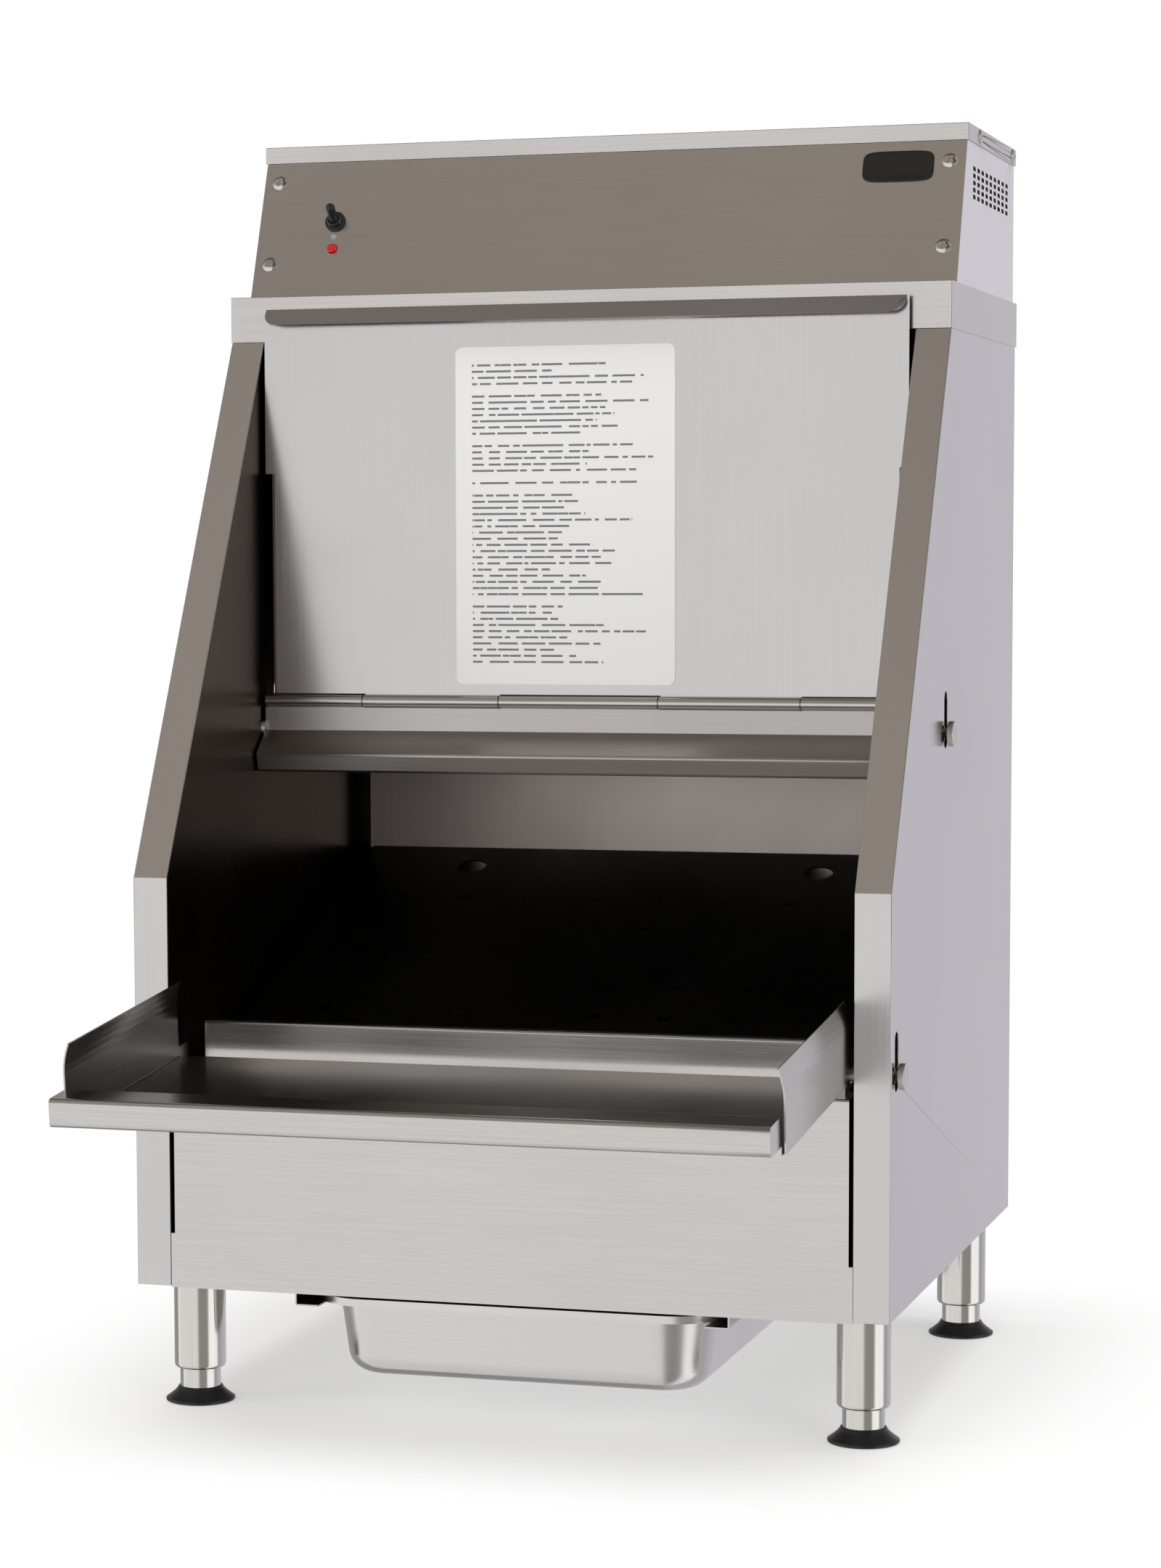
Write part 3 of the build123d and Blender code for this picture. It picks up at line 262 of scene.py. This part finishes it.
def steel(name, hex_code, grain="X", roughness=STEEL_ROUGHNESS, contrast=0.05, relief=0.02,
          cloud=0.05):
    """Brushed stainless. Noise is stretched along the grain's axis; it moves colour and roughness.

    Streaks: noise of (position x [1/length along the grain, 1/width across it]).
    Clouds: a broad noise that changes roughness a little, as handling and rolling do.
    """
    paint = bpy.data.materials.new(name)
    paint.use_nodes = True
    tree = paint.node_tree
    shader = tree.nodes["Principled BSDF"]
    place = add(tree, "ShaderNodeTexCoord").outputs["Object"]
    scale = [1 / (GRAIN_LENGTH if axis == grain else GRAIN_WIDTH) for axis in "XYZ"]
    stretched = add(tree, "ShaderNodeMapping", {"Scale": scale}, Vector=place).outputs[0]
    streaks = add(tree, "ShaderNodeTexNoise", {"Scale": 1.0, "Detail": 3.0, "Roughness": 0.6},
                  Vector=stretched).outputs["Fac"]
    broad = add(tree, "ShaderNodeTexNoise", {"Scale": 5.0, "Detail": 2.0},
                Vector=place).outputs["Fac"]
    base = np.array(linear(hex_code)[:3])
    dark, pale = base * (1 - contrast), np.minimum(base * (1 + contrast), 1)
    tone = ramp(tree, streaks, [(0.3, dark), (0.7, pale)], "LINEAR")
    tree.links.new(tone, shader.inputs["Base Color"])
    shader.inputs["Metallic"].default_value = 1.0
    fine = add(tree, "ShaderNodeMapRange", {"To Min": roughness - GRAIN_SWING,
                                            "To Max": roughness + GRAIN_SWING},
               Value=streaks).outputs[0]
    wear = add(tree, "ShaderNodeMapRange", {"From Min": 0.3, "From Max": 0.7, "To Min": -cloud,
                                            "To Max": cloud}, Value=broad).outputs[0]
    summed = add(tree, "ShaderNodeMath", {"operation": "ADD"}, _0=fine, _1=wear).outputs[0]
    tree.links.new(summed, shader.inputs["Roughness"])
    bump = add(tree, "ShaderNodeBump", {"Strength": relief, "Distance": 0.2 * MM}, Height=streaks)
    tree.links.new(bump.outputs[0], shader.inputs["Normal"])
    return paint


def plain_paint(name, hex_code, roughness, metallic=0.0, **inputs):
    """Material of one finish, its roughness faintly mottled every few millimetres."""
    paint = bpy.data.materials.new(name)
    paint.use_nodes = True
    tree = paint.node_tree
    shader = tree.nodes["Principled BSDF"]
    shader.inputs["Base Color"].default_value = linear(hex_code)
    shader.inputs["Metallic"].default_value = metallic
    for key, value in inputs.items():
        shader.inputs[key.replace("_", " ")].default_value = value
    place = add(tree, "ShaderNodeTexCoord").outputs["Object"]
    noise = add(tree, "ShaderNodeTexNoise", {"Scale": 220.0, "Detail": 4.0},
                Vector=place).outputs["Fac"]
    rough = add(tree, "ShaderNodeMapRange", {"To Min": roughness - MOTTLE_SWING,
                                             "To Max": roughness + MOTTLE_SWING},
                Value=noise).outputs[0]
    tree.links.new(rough, shader.inputs["Roughness"])
    return paint


level_steel = steel("stainless_304_brushed_across", "#CBC8C5", "X")
upright_steel = steel("stainless_304_brushed_upright", "#CBC8C8", "Z", contrast=0.022,
                      relief=0.01)
side_steel = steel("stainless_304_brushed_side", "#C9C7C9", "Z", 0.17, contrast=0.02,
                   relief=0.008, cloud=0.03)
depth_steel = steel("stainless_304_brushed_front_to_back", "#C6C3C0", "Y")
panel_steel = steel("stainless_304_control_panel", "#C3BFBD", "X", contrast=0.03)
bright_steel = steel("stainless_304_polished_fittings", "#D2CFCB", "Z", 0.13, cloud=0.02)
pan_steel = steel("stainless_304_drawn_pan", "#D6D3D0", "X", 0.24, contrast=0.02)
# The inside sheets are the same steel painted darker: painted shade of the closed, empty hopper.
inside_shade_steel = steel("stainless_304_inside_painted_shade", "#9F9893", "Z", 0.32)
# The control box's shell is the same steel painted much paler: painted light for the brighter sheen
# its side shows.
box_steel = steel("stainless_304_control_box_painted_light", "#F0EEEF", "Y", 0.24, contrast=0.03)
rail_steel = steel("stainless_304_hinge_rail", "#BDB9B6", "X", 0.32, contrast=0.04)
# The side liners are painted dark brown: painted shade inside the hopper and a painted reflection
# of the chips that would fill it.
liner_steel = steel("stainless_304_side_liner_painted_shade_and_reflection", "#6B6058", "Z", 0.26, contrast=0.03)
rubber = plain_paint("moulded_nitrile_foot", "#17181A", 0.32)
black_plastic = plain_paint("gloss_black_moulding", "#0E0E10", 0.22)
red_lens = plain_paint("red_acrylic_lens", "#A80016", 0.14, Coat_Weight=0.6)
clear_lens = plain_paint("clear_acrylic_lens", "#D8D6D2", 0.1, Transmission_Weight=0.6)
badge_black = plain_paint("domed_black_badge", "#0A0A0B", 0.2, Coat_Weight=0.2)
knurl_steel = steel("stainless_303_knurled", "#D6D3CF", "X", 0.24, contrast=0.03)
wool = plain_paint("mineral_wool", "#CBBE8C", 0.9)
motor_paint = plain_paint("grey_motor_enamel", "#3A3C40", 0.45)
sheath = plain_paint("heat_tinted_sheath", "#6B625B", 0.4, 1.0)


FILM_ROUGHNESS = 0.42
DASH_SHARE = 0.34            # how much of a row's height a dash fills
EMPTY_ROWS = 0.12            # share of the rows that stay blank
SHORTEST_ROW = 0.35          # of the film's width
WORD_LENGTH = 7.5 * MM
WORD_BREAK = 0.44            # noise below this leaves a gap between dashes


def ruled_film(name, hex_code, ink, box, pitch=5.0 * MM, margin=14 * MM):
    """Satin film with plain grey dashes in rows, in place of print.

    Row number = floor((top - z) / pitch). A dash shows in the upper third of a row, up to a length
    that white noise of the row number picks, and a second noise along the row breaks it up.
    """
    paint = plain_paint(name, hex_code, FILM_ROUGHNESS)
    tree = paint.node_tree
    shader = tree.nodes["Principled BSDF"]
    low, high = box
    spots = add(tree, "ShaderNodeTexCoord").outputs["Object"]
    place = add(tree, "ShaderNodeSeparateXYZ", Vector=spots)

    def maths(operation, second=None, **links):
        settings = {"operation": operation}
        if second is not None:
            settings["1"] = second
        return add(tree, "ShaderNodeMath", settings, **links).outputs[0]

    rows = maths("DIVIDE", -pitch, _0=maths("SUBTRACT", high[2] - margin, _0=place.outputs["Z"]))
    row = maths("FLOOR", _0=rows)
    chance = add(tree, "ShaderNodeTexWhiteNoise", {"noise_dimensions": "1D"},
                 W=row).outputs["Value"]
    width = high[0] - low[0]
    length = add(tree, "ShaderNodeMapRange", {"From Min": EMPTY_ROWS,
                                              "To Min": SHORTEST_ROW * width,
                                              "To Max": width - 2 * margin},
                 Value=chance).outputs[0]
    along = maths("SUBTRACT", low[0] + margin, _0=place.outputs["X"])
    spot = add(tree, "ShaderNodeCombineXYZ", X=maths("DIVIDE", WORD_LENGTH, _0=along), Y=row)
    broken = add(tree, "ShaderNodeTexNoise", {"Scale": 1.0, "Detail": 1.0},
                 Vector=spot.outputs[0]).outputs["Fac"]
    parts = [maths("LESS_THAN", DASH_SHARE, _0=maths("FRACT", _0=rows)),
             maths("GREATER_THAN", 0.0, _0=along),
             maths("LESS_THAN", _0=along, _1=length),
             maths("GREATER_THAN", EMPTY_ROWS, _0=chance),
             maths("GREATER_THAN", WORD_BREAK, _0=broken),
             maths("GREATER_THAN", 0.0, _0=rows),
             maths("GREATER_THAN", low[2] + margin, _0=place.outputs["Z"])]
    printed = parts[0]
    for part in parts[1:]:
        printed = maths("MULTIPLY", _0=printed, _1=part)
    tint = add(tree, "ShaderNodeMix", {"data_type": "RGBA", "6": linear(hex_code),
                                       "7": linear(ink)}, _0=printed)
    tree.links.new(tint.outputs[2], shader.inputs["Base Color"])
    return paint


film = ruled_film("white_polyester_film", "#D8D8D8", "#6A6C6E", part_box("instruction_plate"))


def dress(paint, *names):
    """Gives a material to CAD nodes."""
    for name in names:
        mesh = nodes[name].data
        mesh.materials.clear()
        mesh.materials.append(paint)


sides = ("left", "right")
corners = ("front_left", "front_right", "rear_left", "rear_right")
dress(level_steel, *nodes)
dress(upright_steel, "front_trim_left", "front_trim_right", "back_panel", "top_door_skin")
dress(side_steel, "side_panel_left", "side_panel_right")
dress(depth_steel, "pan_rail_left", "pan_rail_right", "false_bottom", "lower_door_pan")
dress(panel_steel, "control_panel")
dress(inside_shade_steel, "back_liner", "duct_panel", "hopper_ceiling", "base_panel", "top_door_liner")
dress(box_steel, "control_box_shell")
dress(rail_steel, "hinge_rail")
dress(liner_steel, "side_liner_left", "side_liner_right")
dress(bright_steel, *["leg_" + c for c in corners], *["foot_stub_" + c for c in corners])
dress(pan_steel, "crumb_pan")
dress(black_plastic, "power_inlet")
dress(film, "instruction_plate")
dress(wool, "wall_insulation")
dress(motor_paint, "blower_motor")
dress(sheath, "heater_element")

# %% [markdown]
# ## Round pieces from a profile
# Feet, knobs, lenses and screw heads are all turned or moulded round, so one helper makes a grid of
# points from a profile of radius and height, and another joins grids into a closed mesh. The
# profile is a list of corners, with arcs where the real piece is rounded.

# %% Grid helpers
def unit(vector):
    """Vector divided by its length."""
    return np.asarray(vector, float) / np.linalg.norm(vector)


def turned(profile, columns=64, swell=None):
    """Rows by columns by 3 points: radius r at height h, turned to (r cos a, r sin a, h).

    swell is a function of the radius, angle and height grids that gives new radii and heights.
    """
    radius, height_ = np.asarray(profile, float).T[:, :, None]
    angle = np.linspace(0, 2 * np.pi, columns, endpoint=False)[None, :]
    radius, height_, angle = np.broadcast_arrays(radius, height_, angle)
    if swell:
        radius, height_ = swell(radius, angle, height_)
    return np.stack([radius * np.cos(angle), radius * np.sin(angle), height_], axis=-1)


def arc(centre, radius, start, stop, steps=8):
    """Profile points on an arc, from one angle in degrees to another."""
    turn = np.radians(np.linspace(start, stop, steps))
    points = [centre[0] + radius * np.cos(turn), centre[1] + radius * np.sin(turn)]
    return np.stack(points, -1).tolist()


def seat(grid, origin, up, across=(1, 0, 0)):
    """Moves a grid: its z goes along up, and its x along across, made square to up.

    The grid is in millimetres; the origin and the result are in metres.
    """
    w = unit(up)
    u = unit(np.asarray(across, float) - np.dot(across, w) * w)
    return np.asarray(origin) + MM * (grid @ np.stack([u, np.cross(w, u), w]))


def piece(name, grids, paints, body, slot, *stands_for, paint_of=None):
    """One closed mesh from grids of points; the columns of each join in a ring.

    Equal points, such as those of a pole, are merged, then the faces are turned outwards.
    """
    faces, start, marks = [], 0, []
    for number, grid in enumerate(grids):
        rows, columns = grid.shape[:2]
        corner = np.arange(rows - 1)[:, None] * columns + np.arange(columns)[None, :]
        beside = corner - corner % columns + (corner + 1) % columns
        quads = np.stack([corner, beside, beside + columns, corner + columns], -1)
        faces.append(quads.reshape(-1, 4) + start)
        marks += [paint_of[number] if paint_of else 0] * len(faces[-1])
        start += rows * columns
    mesh = bpy.data.meshes.new(name)
    mesh.from_pydata(np.concatenate([g.reshape(-1, 3) for g in grids]), [], np.concatenate(faces))
    mesh.polygons.foreach_set("material_index", marks)
    shape = bmesh.new()
    shape.from_mesh(mesh)
    bmesh.ops.remove_doubles(shape, verts=shape.verts, dist=0.002 * MM)
    bmesh.ops.dissolve_degenerate(shape, dist=0.001 * MM, edges=shape.edges)
    bmesh.ops.recalc_face_normals(shape, faces=shape.faces)
    shape.to_mesh(mesh)
    shape.free()
    mesh.polygons.foreach_set("use_smooth", np.ones(len(mesh.polygons), bool))
    for paint in paints:
        mesh.materials.append(paint)
    made = bpy.data.objects.new(name, mesh)
    scene.collection.objects.link(made)
    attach(made, body)
    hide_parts(*stands_for)


# %% [markdown]
# ## Feet
# Each foot is a moulded rubber cone on a steel stub. The real one flares in a hollow curve to a
# thin lip that grips the floor.

# %% Boots
FLARE_POWER = 1.35


def boot_profile(neck=17.6, rim=27.8, tall=12.0):
    """Flat sole, rounded lip, then a hollow flare: radius goes with (height left) ^ FLARE_POWER."""
    rise = np.linspace(0, 1, 14)
    flare = np.stack([neck + 0.5 + (rim - neck - 0.7) * (1 - rise) ** FLARE_POWER,
                      2.3 + (tall - 3.3) * rise], -1).tolist()
    return ([(0, 0), (rim - 6, 0), (rim - 3.2, 0)] + arc((rim - 1.4, 1.4), 1.4, -75, 60, 6)
            + flare + arc((neck - 0.5, tall - 0.7), 0.7, 20, 90, 5) + [(neck - 3, tall), (0, tall)])


for corner in corners:
    low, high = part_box("foot_boot_" + corner)
    middle = ((low[0] + high[0]) / 2, (low[1] + high[1]) / 2, low[2])
    piece("rubber_boot_" + corner, [seat(turned(boot_profile(), 72), middle, (0, 0, 1))], [rubber],
          "foot_" + corner, "boot_black", "foot_boot_" + corner)
print("boots:", len(boot_profile()), "rows each")

# %% [markdown]
# ## The control panel's plane
# Everything on the control panel stands square to its leaning face. The face leans back from the
# collar to the lid, and the low front corner of the panel's box is its foot.

# %% Panel plane
PANEL_BACK, PANEL_RISE = 45.5, 117.0     # the face goes this far back over this height
PANEL_HALF = 298.0                       # from the middle to each end of the face
panel_low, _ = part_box("control_panel")
LEAN = atan2(PANEL_BACK, PANEL_RISE)
panel_out = np.array([0, -np.cos(LEAN), np.sin(LEAN)])
panel_up = np.array([0, np.sin(LEAN), np.cos(LEAN)])
panel_foot = np.array([0, panel_low[1], panel_low[2]])


def on_panel(x, along):
    """Point on the panel, x to the right of the middle and along up the slope, in millimetres."""
    return panel_foot + MM * (x * np.array([1, 0, 0]) + along * panel_up)


print("panel leans", round(degrees(LEAN), 1), "degrees; foot at", panel_foot.round(4))

# %% [markdown]
# ## Screws
# Truss-head screws with a cross recess hold the panel and the lid. The head is a shallow dome, and
# the cross is pressed into the same grid: points inside its two arms are pushed down.

# %% Screws
HEAD_RADIUS, HEAD_HEIGHT = 6.3, 2.3
HEAD_RIM = 0.35                              # height of the dome's edge
ARM_HALF, ARM_LENGTH, ARM_DEPTH = 0.72, 3.3, 1.5
SCREW_OUT, SCREW_LOW, SCREW_HIGH = 285.0, 32.5, 107.5    # on the panel: sideways and up the slope
LID_SCREW_DROP = 6.75 * MM
LID_SCREW_FRONT, LID_SCREW_REAR = 93.8 * MM, 258.0 * MM
SCREW_SEAT = 2.4 * MM                        # from the solid screws' outer face in to the sheet


def truss_head(turn):
    """Dome of height H(1 - (r/R)^2.4), less a cross of two narrow arms that fade at their ends."""
    rows = [(0.0, 0), *[(r, 0) for r in np.linspace(0.25, HEAD_RADIUS, 26)]]

    def press(radius, angle, height_):
        share = np.clip(radius / HEAD_RADIUS, 0, 1)
        dome = HEAD_RIM + (HEAD_HEIGHT - HEAD_RIM) * (1 - share ** 2.4)
        x, y = radius * np.cos(angle + turn), radius * np.sin(angle + turn)
        narrow = np.minimum(np.abs(x), np.abs(y))
        arm = np.clip((ARM_HALF - narrow) / 0.25, 0, 1) * np.clip((ARM_LENGTH - radius) / 0.8, 0, 1)
        return radius, dome - ARM_DEPTH * arm * arm * (3 - 2 * arm)

    top = turned(rows, 80, press)
    skirt = turned([(HEAD_RADIUS, 0.2), (HEAD_RADIUS - 0.1, 0.0), (0.0, 0.0)], 80)
    return np.concatenate([top, skirt])


screw_low, screw_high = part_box("cover_screws")
_, lid_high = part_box("control_lid")
heads = [seat(truss_head(t), on_panel(side * SCREW_OUT, along), panel_out)
         for side, along, t in ((-1, SCREW_LOW, 0.9), (-1, SCREW_HIGH, 0.4),
                                (1, SCREW_LOW, 0.3), (1, SCREW_HIGH, 0.7))]
lid_middle = lid_high[2] - LID_SCREW_DROP
for side in (-1, 1):
    face = screw_low[0] + SCREW_SEAT if side < 0 else screw_high[0] - SCREW_SEAT
    for y, t in ((LID_SCREW_FRONT, 0.2), (LID_SCREW_REAR, 1.1)):
        heads.append(seat(truss_head(t), (face, y, lid_middle), (side, 0, 0), (0, 1, 0)))
piece("truss_head_screws", heads, [bright_steel], "cabinet", "stainless_fittings", "cover_screws")
print("screw heads:", len(heads))

# %% [markdown]
# ## Badge
# A plain domed badge of gloss black. The outline is a rounded rectangle with bowed sides. The same
# outline, shrunk ring by ring, makes its rim, the shallow groove inside that, and the dome.

# %% Badge
BADGE_IN, BADGE_UP = 54.5, 103.5     # from the panel's right end, and up the slope
OUTLINE_POWER = 0.38                 # 2 divided by the superellipse's exponent, 5.26


def badge_grid(width=58.0, height_=27.0, thick=1.7, columns=120):
    """Superellipse outline |x/a|^n + |y/b|^n = 1, scaled down in rings while the height rises."""
    angle = np.linspace(0, 2 * np.pi, columns, endpoint=False)
    x = width / 2 * np.sign(np.cos(angle)) * np.abs(np.cos(angle)) ** OUTLINE_POWER
    y = height_ / 2 * np.sign(np.sin(angle)) * np.abs(np.sin(angle)) ** OUTLINE_POWER
    ring = np.stack([x, y], -1)
    steps = [(0, 0), (1, 0), (1, 0.45), (0.985, 0.72), (0.965, 0.80), (0.94, 0.74), (0.92, 0.70),
             (0.90, 0.72), (0.75, 0.86), (0.5, 0.96), (0, 1)]
    return np.stack([np.concatenate([ring * k, np.full((columns, 1), h * thick)], -1)
                     for k, h in steps])


piece("plain_badge", [seat(badge_grid(), on_panel(PANEL_HALF - BADGE_IN, BADGE_UP), panel_out)],
      [badge_black], "cabinet", "black_plastic", "badge_plate")

# %% [markdown]
# ## Switch and lamps
# The on and off switch is a toggle under a rubber boot: a fixed seat that the cabinet carries and a
# sleeve that moves with the lever. Below it stand a small clear lens and a red faceted one.

# %% Switch
TOGGLE_X = 67.0 - PANEL_HALF
TOGGLE_UP = 70.0
RED_DROP, CLEAR_DROP = 25, 14        # lenses below the toggle, down the slope
SLEEVE_RISE = 5.0 * MM               # foot of the sleeve above the panel
FACETS = 12
seat_at = on_panel(TOGGLE_X, TOGGLE_UP)
seat_profile = ([(0, -1.0), (7.4, -1.0), (8.6, 0.0)] + arc((7.9, 1.6), 0.9, -20, 100, 6)
                + [(7.0, 2.2), (6.9, 2.9), (6.6, 4.2), (6.0, 5.4), (5.2, 6.2), (4.6, 6.6),
                   (4.5, 5.2), (0, 5.2)])
piece("toggle_seat", [seat(turned(seat_profile, 64), seat_at, panel_out)], [rubber],
      "cabinet", "black_plastic", "toggle_switch_body")
lean_back = radians(24.0)
lever_way = np.array([0, panel_out[1] * np.cos(lean_back) + panel_out[2] * np.sin(lean_back),
                      panel_out[2] * np.cos(lean_back) - panel_out[1] * np.sin(lean_back)])
sleeve = ([(0, -3.4), (2.6, -3.0), (3.9, -1.2), (4.2, 0.6), (4.05, 2.2), (3.7, 3.6),
           (3.55, 6.0), (3.6, 9.5), (3.75, 11.5)] + arc((0, 12.6), 3.8, 0, 84, 9) + [(0, 16.4)])
piece("toggle_sleeve", [seat(turned(sleeve, 48), seat_at + SLEEVE_RISE * panel_out, lever_way)],
      [rubber], "toggle_lever", "black_plastic", "toggle_lever")


def cut_facets(radius, angle, height_):
    """Radius of a flat-sided prism: R cos(half step) / cos(angle within the step)."""
    step = 2 * np.pi / FACETS
    inside = (angle % step) - step / 2
    return radius * np.cos(step / 2) / np.cos(inside), height_


red_dome = [(0, -3.0), (4.0, -3.0), (4.6, 0.0), (4.7, 0.5), (4.4, 2.2), (3.7, 3.4), (2.2, 3.7),
            (0, 3.5)]
clear_dome = ([(0, -3.0), (1.6, -3.0), (2.4, 0.0), (2.5, 0.5)] + arc((0, 0.4), 2.3, 0, 84, 6)
              + [(0, 2.7)])
bezel = [(4.7, 0.0), (5.3, 0.0), (5.2, 0.6), (4.75, 0.8), (4.7, 0.0)]
red_at = on_panel(TOGGLE_X, TOGGLE_UP - RED_DROP)
clear_at = on_panel(TOGGLE_X, TOGGLE_UP - CLEAR_DROP)
piece("pilot_lenses", [seat(turned(red_dome, 60, cut_facets), red_at, panel_out),
                       seat(turned(clear_dome, 36), clear_at, panel_out),
                       seat(turned(bezel, 60), red_at, panel_out)],
      [red_lens, clear_lens, bright_steel], "cabinet", "lens_red", "indicator_lenses",
      paint_of=[0, 1, 2])
print("toggle seat at", seat_at.round(4))

# %% [markdown]
# ## Thumb screws
# The four knurled screws clamp the lower door and the hinge rail to the side walls. A diamond knurl
# is two sets of slanting grooves that cross, so the rim's radius is lowered where either set runs.

# %% Thumb screws
KNOB_HEIGHT = 6.9
KNURL_INSIDE, KNURL_BOTTOM, KNURL_TOP = 9.0, 2.2, 6.6    # radius and heights that bound the knurl
KNURL_DEPTH = 0.42


def knurled(radius, angle, height_, grooves=44, slant=0.55):
    """Groove depth from |sin| of (n angle +- slant height), on the rim and not on the faces."""
    rim = (radius > KNURL_INSIDE) & (height_ > KNURL_BOTTOM) & (height_ < KNURL_TOP)
    one = np.abs(np.sin(grooves / 2 * angle + slant * height_ * 2))
    two = np.abs(np.sin(grooves / 2 * angle - slant * height_ * 2))
    depth = KNURL_DEPTH * (1 - np.minimum(one, two)) ** 1.5
    return np.where(rim, radius - depth, radius), height_


knob = ([(0, -14.0), (3.6, -14.0), (4.0, -13.4), (4.0, 0.0), (6.5, 0.0), (6.5, 1.9), (9.0, 1.95),
         (9.6, 2.1)] + [(10.0, h) for h in np.linspace(2.3, 6.5, 15)]
        + [(9.6, 6.75), (9.2, KNOB_HEIGHT), (8.3, KNOB_HEIGHT), (7.9, 6.65), (0, 6.65)])
for name in ("door_thumb_screw", "rail_thumb_screw"):
    for side in sides:
        low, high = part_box(f"{name}_{side}")
        out = 1 if side == "right" else -1
        face = high[0] - KNOB_HEIGHT * MM if out > 0 else low[0] + KNOB_HEIGHT * MM
        at = (face, (low[1] + high[1]) / 2, (low[2] + high[2]) / 2)
        shape = seat(turned(knob, 264, knurled), at, (out, 0, 0), (0, 1, 0))
        piece(f"knurled_{name}_{side}", [shape], [knurl_steel], f"{name}_{side}",
              "stainless_fittings", f"{name}_{side}")
print("thumb screws at", [round(float(v), 4) for v in at])

# %% [markdown]
# ## Soft edges
# A folded or sheared edge on a real sheet is never knife sharp, and its small radius is what draws
# a bright line along it. The CAD nodes arrive as loose triangles, so each is welded first, and a
# bevel under half a millimetre then rounds every edge that turns by more than 35 degrees.

# %% Bevels
EDGE_RADIUS = 0.45 * MM
WELD_DISTANCE = 0.005 * MM
SHARP_TURN = radians(35)


def soften(*names):
    """Weld and bevel modifiers on CAD nodes."""
    for name in names:
        weld = nodes[name].modifiers.new("weld", "WELD")
        weld.merge_threshold = WELD_DISTANCE
        bevel = nodes[name].modifiers.new("edge", "BEVEL")
        bevel.width, bevel.segments = EDGE_RADIUS, 2
        bevel.limit_method, bevel.angle_limit = "ANGLE", SHARP_TURN


SOFT_SHEETS = ("side_panel", "front_trim", "front_apron", "bin_sill", "top_collar", "control_box",
               "control_lid", "lower_door", "hinge_rail", "top_door_skin", "duct_panel")
sheets = [n for n in nodes if n.startswith(SOFT_SHEETS)]
soften(*sheets)
print("softened", len(sheets), "nodes")
